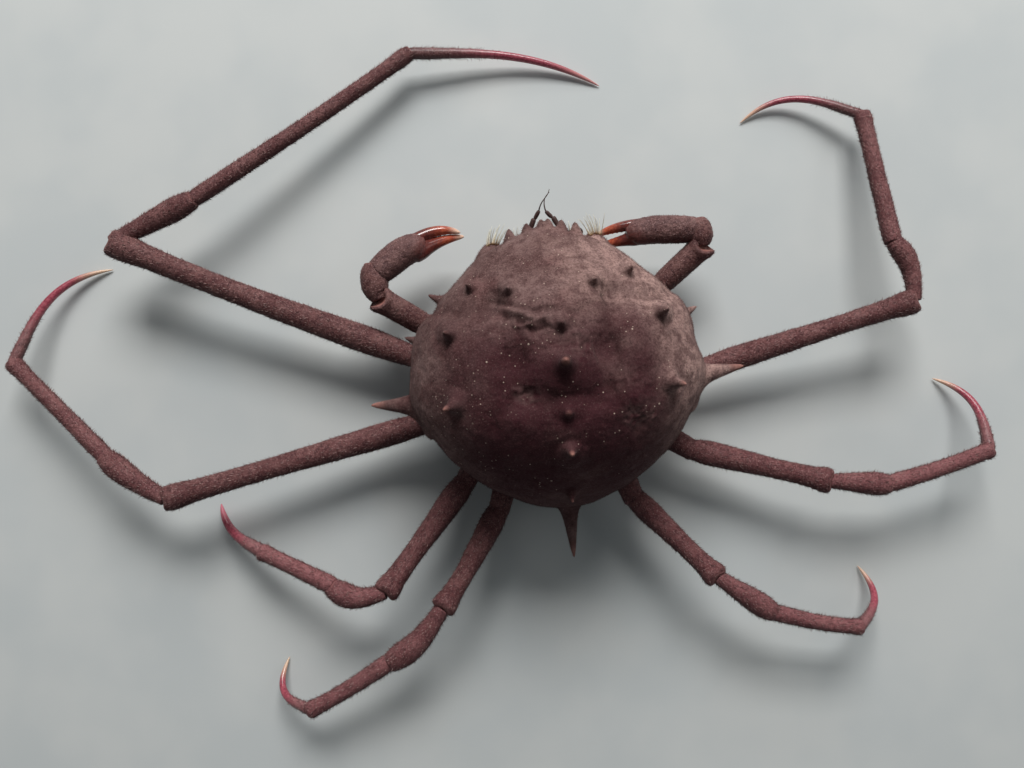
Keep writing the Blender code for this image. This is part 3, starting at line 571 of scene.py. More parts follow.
class Nodes:
    """Builds the nodes of one material, with coordinates in millimetres on the whole model."""

    def __init__(self, name, **sockets):
        self.material = bpy.data.materials.new(name)
        self.material.use_nodes = True
        self.tree = self.material.node_tree
        self.shader = self.tree.nodes["Principled BSDF"]
        for socket, value in sockets.items():
            self.shader.inputs[socket.replace("_", " ")].default_value = value
        place = self.tree.nodes.new("ShaderNodeTexCoord")
        scale = self.tree.nodes.new("ShaderNodeVectorMath")
        scale.operation = "SCALE"
        scale.inputs["Scale"].default_value = 1.0 / MM
        self.tree.links.new(place.outputs["Object"], scale.inputs[0])
        self.place = scale.outputs[0]

    def put(self, socket, value):
        """Link a socket or set a plain value."""
        if isinstance(value, bpy.types.NodeSocket):
            self.tree.links.new(value, socket)
        elif isinstance(value, tuple) and len(value) == 3 and socket.type == "RGBA":
            socket.default_value = (*value, 1.0)
        else:
            socket.default_value = value

    def noise(self, size, detail=2.0, roughness=0.5):
        """Noise from about 0.3 to 0.7 with lumps of a size in mm."""
        node = self.tree.nodes.new("ShaderNodeTexNoise")
        node.inputs["Scale"].default_value = 1.0 / size
        node.inputs["Detail"].default_value = detail
        node.inputs["Roughness"].default_value = roughness
        self.put(node.inputs["Vector"], self.place)
        return node.outputs["Fac"]

    def spots(self, size, radius, chance=1.0):
        """One in chance cells of a size in mm holds a spot of a radius in mm: 1 in it, 0 outside."""
        node = self.tree.nodes.new("ShaderNodeTexVoronoi")
        node.inputs["Scale"].default_value = 1.0 / size
        self.put(node.inputs["Vector"], self.place)
        inside = self.span(node.outputs["Distance"], radius / size, radius / size * 0.6)
        split = self.tree.nodes.new("ShaderNodeSeparateColor")
        self.put(split.inputs[0], node.outputs["Color"])
        held = self.span(split.outputs[0], 1.0 - chance, 1.0 - chance + 0.02)
        return self.math("MULTIPLY", inside, held)

    def mark(self, name):
        """A number kept with each vertex."""
        node = self.tree.nodes.new("ShaderNodeAttribute")
        node.attribute_name = name
        return node.outputs["Fac"]

    def span(self, value, low, high, bottom=0.0, top=1.0):
        """A value's share of the way from low to high, kept between bottom and top."""
        node = self.tree.nodes.new("ShaderNodeMapRange")
        node.interpolation_type = "SMOOTHSTEP"
        for socket, number in zip(node.inputs[1:5], (low, high, bottom, top)):
            socket.default_value = number
        self.put(node.inputs[0], value)
        return node.outputs[0]

    def math(self, operation, first, second=0.0):
        """One sum on two values."""
        node = self.tree.nodes.new("ShaderNodeMath")
        node.operation = operation
        self.put(node.inputs[0], first)
        self.put(node.inputs[1], second)
        return node.outputs[0]

    def mix(self, share, first, second):
        """A colour between two."""
        node = self.tree.nodes.new("ShaderNodeMix")
        node.data_type = "RGBA"
        self.put(node.inputs["Factor"], share)
        self.put(node.inputs[6], first)
        self.put(node.inputs[7], second)
        return node.outputs[2]

    def patches(self, colour, size, detail, roughness, low, high, strength, tint):
        """Lay a tint over a colour in patches of noise of a size in mm."""
        share = self.span(self.noise(size, detail, roughness), low, high, 0.0, strength)
        return self.mix(share, colour, tint)

    def bump(self, *layers):
        """Join heights in mm to the shader's normal."""
        total = 0.0
        for height, depth in layers:
            total = self.math("ADD", total, self.math("MULTIPLY", height, depth * MM))
        node = self.tree.nodes.new("ShaderNodeBump")
        node.inputs["Distance"].default_value = 1.0
        self.put(node.inputs["Height"], total)
        self.tree.links.new(node.outputs["Normal"], self.shader.inputs["Normal"])

    def finish(self, colour, roughness):
        """Link the colour and the roughness."""
        self.put(self.shader.inputs["Base Color"], colour)
        self.put(self.shader.inputs["Roughness"], roughness)
        return self.material

    def finish_uneven(self, colour, size, low, high):
        """Link the colour, and a roughness that wanders from low to high over a size in mm."""
        return self.finish(colour, self.span(self.noise(size), 0.3, 0.7, low, high))


# Patches of a tint on a colour: size in mm, detail and roughness of their noise, where it starts
# and where it is full, strength, tint.
FELT_RED = (5.0, 3.0, 0.5, 0.46, 0.66, 0.7, (0.150, 0.068, 0.066))
FELT_HAZE = (3.2, 4.0, 0.6, 0.52, 0.66, 0.28, (0.28, 0.180, 0.172))
FELT_CLOUDS = (1.6, 4.0, 0.62, 0.40, 0.66, 0.6, (0.060, 0.022, 0.023))
FELT_VELVET = (0.30, 2.0, 0.6, 0.42, 0.68, 0.5, (0.045, 0.016, 0.016))
FELT_DUST = (0.24, 2.0, 0.6, 0.52, 0.70, 0.4, (0.33, 0.205, 0.190))
LIMB_MOTTLE = (0.7, 4.0, 0.7, 0.42, 0.64, 0.7, (0.048, 0.012, 0.016))
LIMB_DUST = (0.22, 2.0, 0.6, 0.52, 0.68, 0.6, (0.36, 0.205, 0.195))
UNDERSIDE_MOTTLE = (0.5, 3.0, 0.65, 0.45, 0.66, 0.5, (0.13, 0.060, 0.052))


def haired(name, weight, tint, specular, spread=0.4):
    """The nodes of a material with a sheen of fine hairs."""
    return Nodes(
        name, Sheen_Weight=weight, Sheen_Tint=(*tint, 1.0), Sheen_Roughness=spread,
        Specular_IOR_Level=specular)


def felt_colour(nodes):
    """Colour of the carapace's felt, the same on the shell and on its hairs."""
    broad = nodes.span(nodes.noise(9.0, 3.0), 0.38, 0.62)
    colour = nodes.mix(broad, (0.150, 0.084, 0.079), (0.245, 0.152, 0.142))
    colour = nodes.patches(colour, *FELT_RED)
    # Painted light on the front and right of the shell, where the lamps fall.
    colour = nodes.mix(nodes.mark("bright"), colour, (0.50, 0.325, 0.29))
    # The middle's darker red, here and again below: partly the felt's own colour, partly painted shade on
    # the rear.
    colour = nodes.mix(nodes.mark("middle"), colour, (0.076, 0.024, 0.030))
    for patches in (FELT_HAZE, FELT_CLOUDS, FELT_VELVET, FELT_DUST):
        colour = nodes.patches(colour, *patches)
    colour = nodes.mix(nodes.math("MULTIPLY", nodes.mark("middle"), 0.68), colour, (0.050, 0.013, 0.018))
    colour = nodes.mix(nodes.mark("pale"), colour, (0.30, 0.195, 0.180))
    # The dark mark: painted shade round the spines' roots, in hollows, furrows and crinkles, and the
    # spines' own darker colour.
    return nodes.mix(nodes.mark("dark"), colour, (0.030, 0.009, 0.010))


def felt_material():
    """Velvety felt of short hairs with a few sandy specks caught in it."""
    nodes = haired("felt", 0.1, (0.85, 0.68, 0.65), 0.15)
    colour = felt_colour(nodes)
    patches = nodes.span(nodes.noise(5.5, 3.0, 0.6), 0.46, 0.60)
    fine = nodes.math("MULTIPLY", nodes.spots(0.6, 0.13, 0.3), patches)
    coarse = nodes.math("MULTIPLY", nodes.spots(1.5, 0.2, 0.22), patches)
    specks = nodes.math("MAXIMUM", nodes.math("MAXIMUM", fine, coarse), nodes.spots(1.2, 0.13, 0.2))
    colour = nodes.mix(nodes.math("MULTIPLY", specks, 0.85), colour, (0.60, 0.46, 0.38))
    # Painted shade in tiny pits, which the bump also sinks.
    pits = nodes.spots(2.1, 0.16, 0.3)
    colour = nodes.mix(nodes.math("MULTIPLY", pits, 0.7), colour, (0.016, 0.006, 0.006))
    colour = nodes.mix(nodes.mark("pink"), colour, (0.37, 0.175, 0.145))
    nodes.bump(
        (nodes.noise(0.16, 3.0, 0.7), 0.06), (nodes.noise(0.9, 3.0), 0.14), (pits, -0.06), (specks, 0.06))
    return nodes.finish_uneven(colour, 1.5, 0.78, 0.95)


def limb_colour(nodes):
    """Colour of a limb: brown to red by its tone, mottled darker, dusted lighter, and painted shade on its
    lower and rear sides.
    """
    broad = nodes.span(nodes.noise(3.5, 3.0), 0.36, 0.64)
    brown = nodes.mix(broad, (0.125, 0.053, 0.049), (0.195, 0.100, 0.091))
    red = nodes.mix(broad, (0.120, 0.030, 0.036), (0.188, 0.060, 0.066))
    colour = nodes.mix(nodes.mark("tone"), brown, red)
    for patches in (LIMB_MOTTLE, LIMB_DUST):
        colour = nodes.patches(colour, *patches)
    colour = nodes.mix(nodes.mark("blush"), colour, (0.42, 0.165, 0.175))
    # Painted shade: darker maroon where the skin faces down or to the rear, away from the lamps.
    return nodes.mix(nodes.mark("under"), colour, (0.045, 0.010, 0.013))


def add_limb_looks(nodes, colour):
    """Specks, pits and membranes on a limb's colour, and the heights of its grain."""
    specks = nodes.spots(0.55, 0.075, 0.4)
    colour = nodes.mix(nodes.math("MULTIPLY", specks, 0.75), colour, (0.52, 0.36, 0.33))
    # Painted shade in tiny pits, which the bump also sinks.
    pits = nodes.spots(0.7, 0.085, 0.4)
    colour = nodes.mix(nodes.math("MULTIPLY", pits, 0.7), colour, (0.024, 0.009, 0.009))
    colour = nodes.mix(nodes.mark("membrane"), colour, (0.42, 0.185, 0.155))
    grain = (
        (nodes.noise(0.13, 3.0, 0.7), 0.07), (nodes.noise(0.3, 3.0), 0.13), (specks, 0.06), (pits, -0.06))
    return colour, grain


def limb_material():
    """Finely haired shell of the legs and claws."""
    nodes = haired("limb", 0.04, (0.85, 0.68, 0.66), 0.25)
    colour, grain = add_limb_looks(nodes, limb_colour(nodes))
    nodes.bump(*grain)
    return nodes.finish_uneven(colour, 1.2, 0.55, 0.8)


def dactyl_material():
    """Last joint of a leg: brown-purple, then glossy crimson, then a pale tip."""
    nodes = Nodes("dactyl", Specular_IOR_Level=0.5, Coat_Weight=0.25, Coat_Roughness=0.2)
    along = nodes.mark("along")
    rough = limb_colour(nodes)
    streaks = nodes.noise(0.4, 3.0, 0.6)
    crimson = nodes.mix(nodes.span(streaks, 0.35, 0.65), (0.25, 0.038, 0.062), (0.43, 0.092, 0.125))
    colour = nodes.mix(nodes.span(along, 0.14, 0.52), rough, crimson)
    tip = nodes.mix(nodes.mark("tip"), (0.52, 0.155, 0.200), (0.76, 0.54, 0.36))
    colour = nodes.mix(nodes.span(along, 0.70, 0.97), colour, tip)
    nodes.bump((nodes.noise(0.12, 2.0), 0.012), (nodes.noise(0.6, 2.0), 0.03))
    return nodes.finish(colour, nodes.span(along, 0.12, 0.5, 0.62, 0.24))


def finger_colour(nodes):
    """Dark red at a finger's root, orange in its middle and cream at its tip."""
    along = nodes.mark("along")
    streaks = nodes.span(nodes.noise(0.5, 3.0, 0.6), 0.35, 0.65)
    root = nodes.mix(streaks, (0.095, 0.022, 0.019), (0.17, 0.036, 0.028))
    middle = nodes.mix(streaks, (0.32, 0.050, 0.028), (0.50, 0.115, 0.055))
    colour = nodes.mix(nodes.span(along, 0.34, 0.72), root, middle)
    return nodes.mix(nodes.span(along, 0.74, 0.97), colour, (0.84, 0.56, 0.42))


def finger_material():
    """The polished movable fingers of the claws."""
    nodes = Nodes("finger", Specular_IOR_Level=0.55, Coat_Weight=0.6, Coat_Roughness=0.08)
    nodes.bump((nodes.noise(0.5, 2.0), 0.02))
    return nodes.finish_uneven(finger_colour(nodes), 0.4, 0.14, 0.28)


def palm_material():
    """A claw's palm, haired and grainy, and the polished fixed finger that grows out of it."""
    nodes = haired("palm", 0.08, (0.85, 0.68, 0.66), 0.5)
    flush = nodes.mark("flush")
    rough, grain = add_limb_looks(nodes, limb_colour(nodes))
    bare = nodes.math("SUBTRACT", 1.0, flush)
    nodes.bump(*((nodes.math("MULTIPLY", height, bare), depth) for height, depth in grain))
    colour = nodes.mix(flush, rough, finger_colour(nodes))
    return nodes.finish(colour, nodes.span(flush, 0.0, 1.0, 0.7, 0.16))


def underside_material():
    """Thinly haired paler shell of the sternum, abdomen and mouth."""
    nodes = haired("underside", 0.2, (0.85, 0.72, 0.66), 0.35, 0.5)
    broad = nodes.span(nodes.noise(4.0, 3.0), 0.36, 0.64)
    colour = nodes.mix(broad, (0.185, 0.105, 0.093), (0.29, 0.188, 0.165))
    colour = nodes.patches(colour, *UNDERSIDE_MOTTLE)
    # The dark mark: dark sutures and grooves of the sternum and abdomen, and painted shade on the mouth
    # plates.
    colour = nodes.mix(nodes.mark("dark"), colour, (0.06, 0.026, 0.024))
    specks = nodes.spots(0.8, 0.09, 0.4)
    colour = nodes.mix(specks, colour, (0.56, 0.44, 0.38))
    nodes.bump((nodes.noise(0.15, 3.0, 0.7), 0.04), (nodes.noise(0.8, 3.0), 0.08), (specks, 0.04))
    return nodes.finish_uneven(colour, 1.2, 0.55, 0.82)


FACET_SIZE = 0.07


def eye_material():
    """Dark glossy cornea with fine facets."""
    nodes = Nodes("eye", Specular_IOR_Level=0.6, Coat_Weight=1.0, Coat_Roughness=0.05)
    facets = nodes.tree.nodes.new("ShaderNodeTexVoronoi")
    facets.inputs["Scale"].default_value = 1.0 / FACET_SIZE
    nodes.put(facets.inputs["Vector"], nodes.place)
    colour = nodes.mix(nodes.mark("membrane"), (0.010, 0.005, 0.006), (0.085, 0.040, 0.036))
    nodes.bump((nodes.span(facets.outputs["Distance"], 0.0, 0.7, 1.0, 0.0), 0.01))
    return nodes.finish(colour, nodes.span(nodes.mark("membrane"), 0.0, 1.0, 0.12, 0.7))


def antenna_material():
    """Dark brown joints of the antennae."""
    nodes = Nodes("antenna", Specular_IOR_Level=0.4, Sheen_Weight=0.1)
    shade = nodes.span(nodes.noise(0.3, 3.0, 0.6), 0.35, 0.65)
    colour = nodes.mix(shade, (0.040, 0.017, 0.015), (0.095, 0.046, 0.040))
    nodes.bump((nodes.noise(0.15, 2.0), 0.03))
    return nodes.finish(colour, nodes.span(shade, 0.0, 1.0, 0.5, 0.7))


def bristle_material():
    """Long pale yellow bristles."""
    nodes = Nodes("bristle", Specular_IOR_Level=0.5, Sheen_Weight=0.1)
    shade = nodes.span(nodes.noise(0.6, 2.0), 0.35, 0.65)
    colour = nodes.mix(shade, (0.66, 0.61, 0.44), (0.88, 0.85, 0.72))
    colour = nodes.mix(nodes.mark("root"), colour, (0.42, 0.235, 0.10))
    return nodes.finish(colour, nodes.span(shade, 0.0, 1.0, 0.4, 0.55))


def fuzz_material():
    """Short hairs of the limbs, from the limb's own colour to a pale one."""
    nodes = haired("fuzz", 0.04, (0.9, 0.78, 0.74), 0.15)
    colour = limb_colour(nodes)
    colour = nodes.mix(nodes.mark("light"), colour, (0.56, 0.39, 0.36))
    return nodes.finish_uneven(colour, 0.9, 0.6, 0.85)


MATERIALS = {
    "felt": felt_material(),
    "limb": limb_material(),
    "fuzz": fuzz_material(),
    "dactyl": dactyl_material(),
    "finger": finger_material(),
    "palm": palm_material(),
    "underside": underside_material(),
    "eye": eye_material(),
    "bristle": bristle_material(),
    "antenna": antenna_material(),
}


# Coat


HAIR_SINK = 0.06
HAIR_VERTS = 4
HAIR_CORNERS = 12
BAKE_PATCH = 0.003


def slivers(roots, ways, lengths, widths, bend):
    """Places and faces of thin closed three-sided hairs."""
    ways = unit(ways)
    reference = np.where(np.abs(ways[:, 2:]) < 0.8, np.array((0.0, 0.0, 1.0)), np.array((1.0, 0.0, 0.0)))
    side = unit(np.cross(ways, reference))
    other = np.cross(ways, side)
    base = roots - ways * HAIR_SINK
    corners = []
    for turn in range(3):
        angle = turn * TAU / 3.0
        corners.append(base + (side * math.cos(angle) + other * math.sin(angle)) * widths[:, None] * 0.5)
    tip = roots + ways * lengths[:, None] + bend * lengths[:, None]
    verts = np.stack(corners + [tip], axis=1).reshape(-1, 3)
    first = np.arange(len(roots))[:, None] * HAIR_VERTS
    pattern = np.array(((0, 1, 3), (1, 2, 3), (2, 0, 3), (0, 2, 1)))
    faces = (first[:, :, None] + pattern[None]).reshape(-1, 3)
    return verts, faces


def add_bake_map(mesh, places):
    """Give each hair a small patch at its root's place on the unwrap of its skin."""
    layer = mesh.uv_layers.new(name="OFBake")
    shape = np.array(((0.0, 0.0), (1.0, 0.0), (0.5, 1.0))) * BAKE_PATCH
    count = len(mesh.loops)
    uv = np.repeat(places, HAIR_CORNERS, axis=0) + np.tile(shape, (count // 3, 1))
    layer.uv.foreach_set("vector", uv.astype(np.float32).ravel())


def add_coat(name, roots, ways, lengths, widths, bend, unwrap, marks, material):
    """A piece of coat from the roots of its hairs."""
    verts, faces = slivers(roots, ways, lengths, widths, bend)
    mesh = new_mesh(name, verts, [faces])
    add_bake_map(mesh, unwrap)
    marks = {key: np.repeat(np.full(len(roots), values), HAIR_VERTS) for key, values in marks.items()}
    add_piece(mesh, material, marks=marks)


def surface_samples(mesh, count, rng):
    """Random places on a mesh, even over its area, with its normals, in mm."""
    mesh.calc_loop_triangles()
    corners = np.empty(len(mesh.loop_triangles) * 3, dtype=np.int32)
    mesh.loop_triangles.foreach_get("vertices", corners)
    corners = corners.reshape(-1, 3)
    places, normals = vertex_data(mesh)
    first, second, third = (places[corners[:, k]] for k in range(3))
    area = np.linalg.norm(np.cross(second - first, third - first), axis=1)
    chosen = rng.choice(len(corners), count, p=area / area.sum())
    u, v = rng.random(count), rng.random(count)
    over = u + v > 1.0
    u, v = np.where(over, 1.0 - u, u), np.where(over, 1.0 - v, v)
    weights = np.stack((1.0 - u - v, u, v), axis=1)
    at = sum(places[corners[chosen, k]] * weights[:, k:k + 1] for k in range(3))
    normal = unit(sum(normals[corners[chosen, k]] * weights[:, k:k + 1] for k in range(3)))
    return at, normal


# Carapace


def swelling(x, y):
    """How far the carapace stands out or dips at places seen from above."""
    total = np.zeros_like(x)
    for centre, along, reach, height in REGIONS:
        for side in ((centre, -centre) if centre else (centre,)):
            total += height * np.exp(-((x - side)**2 + (y - along)**2) / reach**2)
    return total


def back_height(x, y):
    """Height of the carapace at one place seen from above."""
    half_width, margin, top, _ = curve_values(BODY_RINGS, [y])[0]
    share = min(abs(x) / half_width, 1.0)
    rise = (1.0 - share**TOP_CURVE)**(1.0 / TOP_CURVE)
    return margin + (top - margin + swelling(np.array([x]), np.array([y]))[0]) * rise


def loft_points(rings, count, sides):
    """A grid of places on smooth oval rings across Y, and the share of height of each."""
    share = 0.5 - 0.5 * np.cos(np.pi * np.linspace(0.0, 1.0, count))
    y = rings[0][0] + (rings[-1][0] - rings[0][0]) * share
    half_width, margin, top, underside = curve_values(rings, y).T[:, :, None]
    angle = np.arange(sides) * TAU / sides
    across, rise = np.cos(angle)[None], np.sin(angle)[None]
    bend = np.where(rise > 0.0, TOP_CURVE, UNDERSIDE_CURVE)
    share_x = np.copysign(np.abs(across)**(2.0 / bend), across)
    share_z = np.copysign(np.abs(rise)**(2.0 / bend), rise)
    x = share_x * half_width
    z = margin + share_z * np.where(rise > 0.0, top - margin, margin - underside)
    points = np.stack((x, np.repeat(y[:, None], sides, axis=1), z), axis=-1)
    return points, np.broadcast_to(share_z, x.shape)


def spine_rows():
    """Every spine: root, way, length, root radius, profile and paleness of its tip."""
    rows = []
    for x, y, length, radius, lean, pale in MEDIAN_SPINES:
        root = np.array((x, y, back_height(x, y)))
        rows.append((root, direction(90.0, 90.0 - lean), length, radius, SPINE_PROFILE, pale))
    for x, y, z, length, radius, azimuth, elevation, pale in SINGLE_SPINES:
        root = np.array((x, y, z))
        rows.append((root, direction(azimuth, elevation), length, radius, EDGE_PROFILE, pale))
    for side in (1, -1):
        turn = np.array((side, 1.0, 1.0))
        for x, y, length, radius, azimuth, elevation, pale in BACK_SPINES:
            root = np.array((side * x, y, back_height(x, y)))
            rows.append((root, direction(azimuth, elevation) * turn, length, radius, SPINE_PROFILE, pale))
        for x, y, z, length, radius, azimuth, elevation, pale in EDGE_SPINES:
            root = np.array((side * x, y, z))
            rows.append((root, direction(azimuth, elevation) * turn, length, radius, EDGE_PROFILE, pale))
        for x, y, z, length, radius, azimuth, elevation, shift in FRONT_TEETH:
            root = np.array((side * x + shift, y, z))
            rows.append((root, direction(azimuth, elevation) * turn, length, radius, TOOTH_PROFILE, 0.0))
    return rows


SPINE_RINGS = 26
SPINE_SIDES = 20


def spine_tube(row):
    """One spine as a grid of places, sunk in the shell at its root."""
    root, way, length, radius, profile, _ = row
    below = np.linspace(-1.0, 0.0, SPINE_RINGS // 3, endpoint=False)
    above = np.linspace(0.0, 1.0, SPINE_RINGS - SPINE_RINGS // 3)
    shares = np.concatenate((below, above))
    factor = curve_values(profile, shares)[:, 0]
    centres = root + way * np.concatenate((below * SPINE_SINK, above * length))[:, None]
    radii = radius * np.maximum(factor, 0.05)
    radii = np.repeat(radii[:, None], SPINE_SIDES, axis=1)
    if profile is EDGE_PROFILE:
        flare = curve_values(EDGE_FLARE, shares) - 1.0
        spread = np.clip(1.0 + 1.4 * np.sin(np.arange(SPINE_SIDES) * TAU / SPINE_SIDES), 0.0, 1.0)
        radii *= 1.0 + flare * spread
    return round_tube(centres, radii, SPINE_SIDES).points


def push_clear(places, start, end, radius):
    """Move places inside a round rod out to its surface."""
    along = end - start
    share = np.clip((places - start) @ along / (along @ along), 0.0, 1.0)
    nearest = start + share[:, None] * along
    away = places - nearest
    distance = np.linalg.norm(away, axis=1)
    inside = distance < radius
    places[inside] = nearest[inside] + unit(away[inside]) * radius
    return places


def line_distance(x, y, line):
    """Distance seen from above to the nearest stretch of a line."""
    nearest = np.full(len(x), 1e9)
    for (x0, y0), (x1, y1) in zip(line, line[1:]):
        along = np.array((x1 - x0, y1 - y0))
        share = np.clip(((x - x0) * along[0] + (y - y0) * along[1]) / (along @ along), 0.0, 1.0)
        nearest = np.minimum(nearest, np.hypot(x - x0 - share * along[0], y - y0 - share * along[1]))
    return nearest


def rod_offsets(places, root, way):
    """How far places are along a line from its root, and how far away from it."""
    offset = places - root
    along = offset @ way
    return along, np.linalg.norm(offset - along[:, None] * way, axis=1)


def blot(x, y, centre_x, centre_y, wide, deep):
    """A soft round patch seen from above: 1 in its middle, 0 far out."""
    return np.exp(-((x - centre_x) / wide)**2 - ((y - centre_y) / deep)**2)


def spine_marks(places, dark, pink):
    """Paint shade on the shell round the spines' roots, darken the spines and teeth themselves, and turn
    the spines' tips pink.
    """
    for root, way, length, radius, profile, tip in spine_rows():
        along, away = rod_offsets(places, root, way)
        # Painted shade on the shell round each spine's root, and the spine's own darker colour.
        near = np.exp(-(away / (radius * 0.75))**2) * np.exp(-(np.clip(-along, 0.0, None) / 1.2)**2)
        if profile is TOOTH_PROFILE:
            dark = np.maximum(dark, near * 0.35 * np.clip(along / length, 0.0, 1.0))
        else:
            dark = np.maximum(dark, near * (0.38 - 0.18 * tip) * np.clip(1.3 - along / length, 0.0, 1.0))
            pink = np.maximum(pink, tip * near * np.clip((along / length - 0.66) / 0.28, 0.0, 1.0))
    return dark, pink


def ground_marks(places, dark, pale):
    """Paint shade in the shell's hollows, furrows and between the crinkles of its rough patches, and
    lighten its rough patches and ridges.
    """
    x, y = places[:, 0], places[:, 1]
    for centre_x, centre_y, reach in PAINTED_HOLLOW_SHADES:
        spot = np.exp(-((x - centre_x)**2 + (y - centre_y)**2) / reach**2)
        dark = np.maximum(dark, 0.6 * spot * np.clip(0.6 + 0.8 * layered(places, 1.2, 2, 5), 0.0, 1.0))
    for centre_x, centre_y, wide, deep, _, light in RUGOSE:
        patch = blot(x, y, centre_x, centre_y, wide, deep)
        pale = np.maximum(pale, light * patch * creases(places, 1.1, 2, 3) * 1.3)
        dark = np.maximum(dark, 0.45 * patch * np.clip(1.0 - 1.6 * creases(places, 1.3, 2, 11), 0.0, 1.0))
    # Painted shade along the furrows; the one ridge gets lighter instead.
    for line, depth, width in FURROWS:
        near = np.exp(-(line_distance(x, y, line) / width)**2)
        streak = np.clip(0.7 + 0.9 * layered(places, 1.6, 2, 15), 0.0, 1.0)
        if depth > 0.0:
            dark = np.maximum(dark, near * min(depth, 0.36) * streak)
        else:
            pale = np.maximum(pale, near * 0.25 * streak)
    return dark, pale


def carapace_marks(places):
    """Where the shell is dark, pale or pink, where painted light lies, and the middle's darker red, partly
    painted shade.
    """
    x, y = places[:, 0], places[:, 1]
    dark, pink = spine_marks(places, np.zeros(len(places)), np.zeros(len(places)))
    dark, pale = ground_marks(places, dark, np.zeros(len(places)))
    # Darker, redder middle: partly the felt's own redder centre, partly painted shade on the rear, which
    # faces away from the lamps.
    middle = np.exp(-(x / 16.0)**4 - ((y - 9.0) / 15.0)**4)
    middle = np.clip(middle * (1.05 + 0.7 * layered(places, 5.0, 3, 21)), 0.0, 1.0)
    # Painted light: lighter towards the front and right, where the lamps fall.
    bright = np.clip(0.06 - 0.085 * x - 0.02 * (y + 8.0), 0.0, 1.0)
    bright = bright * np.clip(0.9 + 1.2 * layered(places, 5.0, 3, 23), 0.0, 1.0)
    marks = {"dark": dark, "pale": np.clip(pale, 0.0, 0.9), "pink": pink}
    marks.update(middle=middle, bright=bright)
    return {name: np.clip(values, 0.0, 1.0) for name, values in marks.items()}


def spine_share(places):
    """How much each place belongs to a spine or a tooth."""
    share = np.zeros(len(places))
    for root, way, length, radius, _, _ in spine_rows():
        along, away = rod_offsets(places, root, way)
        near = np.exp(-(away / radius)**2)
        share = np.maximum(share, near * np.clip(along / length * 3.0 + 0.5, 0.0, 1.0))
    return share


def carapace_relief(places, normals):
    """Undulations, wrinkles and grain of the shell, in mm along its normals."""
    x, y = places[:, 0], places[:, 1]
    upper = np.clip((places[:, 2] - 13.0) / 5.0, 0.0, 1.0)
    height = 0.2 * layered(places, 5.0, 3, 1) + 0.075 * layered(places, 1.5, 3, 7)
    for centre_x, centre_y, wide, deep, strength, _ in RUGOSE:
        patch = blot(x, y, centre_x, centre_y, wide, deep) * upper
        height += strength * patch * (creases(places, 1.5, 3, 11) - 0.5)
    for line, depth, width in FURROWS:
        wander = 1.0 + 0.5 * layered(places, 2.0, 2, 17)
        height -= depth * wander * np.exp(-(line_distance(x, y, line) / width)**2) * upper
    bumps, _ = grains(places, 1.3, 31)
    height += 0.05 * bumps * upper
    height *= 1.0 - 0.9 * spine_share(places)
    return places + normals * height[:, None]


SKIN_VOXEL = 0.2
CARAPACE_GRID = (150, 220)
EYE_ROOM = 1.0
ANTENNA_ROOM = 0.55


def eye_ends(side):
    """Where an eye starts and ends, with the head's small shift to the right."""
    shift = np.array((HEAD_SHIFT, 0.0, 0.0))
    return mirrored(EYE_ROOT, side) + shift, mirrored(EYE_TIP, side) + shift


def make_carapace():
    """The shell with its spines and teeth as one skin, and its felt."""
    points, share_z = loft_points(BODY_RINGS, *CARAPACE_GRID)
    points[..., 2] += swelling(points[..., 0], points[..., 1]) * np.clip(share_z, 0.0, 1.0)
    points[..., 2] = np.maximum(points[..., 2], CARAPACE_EDGE)
    for side, y, reach, depth in DENTS:
        outer = np.clip(side * points[..., 0] / 23.0, 0.0, 1.0)**3
        points[..., 0] -= side * depth * outer * np.exp(-((points[..., 1] - y) / reach)**2)
    parts = [tube_part(points)] + [tube_part(spine_tube(row)) for row in spine_rows()]
    mesh, places = remeshed("carapace_shell", parts, SKIN_VOXEL, 4)
    for side in (1, -1):
        places = push_clear(places, *eye_ends(side), EYE_ROOM)
    for first, *_ in ANTENNAE.values():
        places = push_clear(places, np.array(first[0]), np.array(first[1]), ANTENNA_ROOM)
    move_vertices(mesh, places)
    places, normals = vertex_data(mesh)
    marks = carapace_marks(places)
    move_vertices(mesh, carapace_relief(places, normals))
    add_piece(mesh, "felt", ("carapace",), marks)
    make_felt(mesh)


FELT_PIECES = 3
FELT_HAIRS = 44000
FELT_LENGTHS = (0.6, 1.25)
FELT_WIDTHS = (0.03, 0.055)
FELT_SPREAD = 0.28
FELT_BEND = 0.12
FELT_LIE = (0.35, -0.15)


def shell_unwrap(places):
    """Unwrap of the shell: the angle round the long axis, and the share along it."""
    front, rear = BODY_RINGS[0][0], BODY_RINGS[-1][0]
    u = np.arctan2(places[:, 0], places[:, 2] - 14.0) / TAU + 0.5
    v = np.clip((places[:, 1] - front) / (rear - front), 0.0, 1.0)
    return np.stack((u, v), axis=1) * 0.99


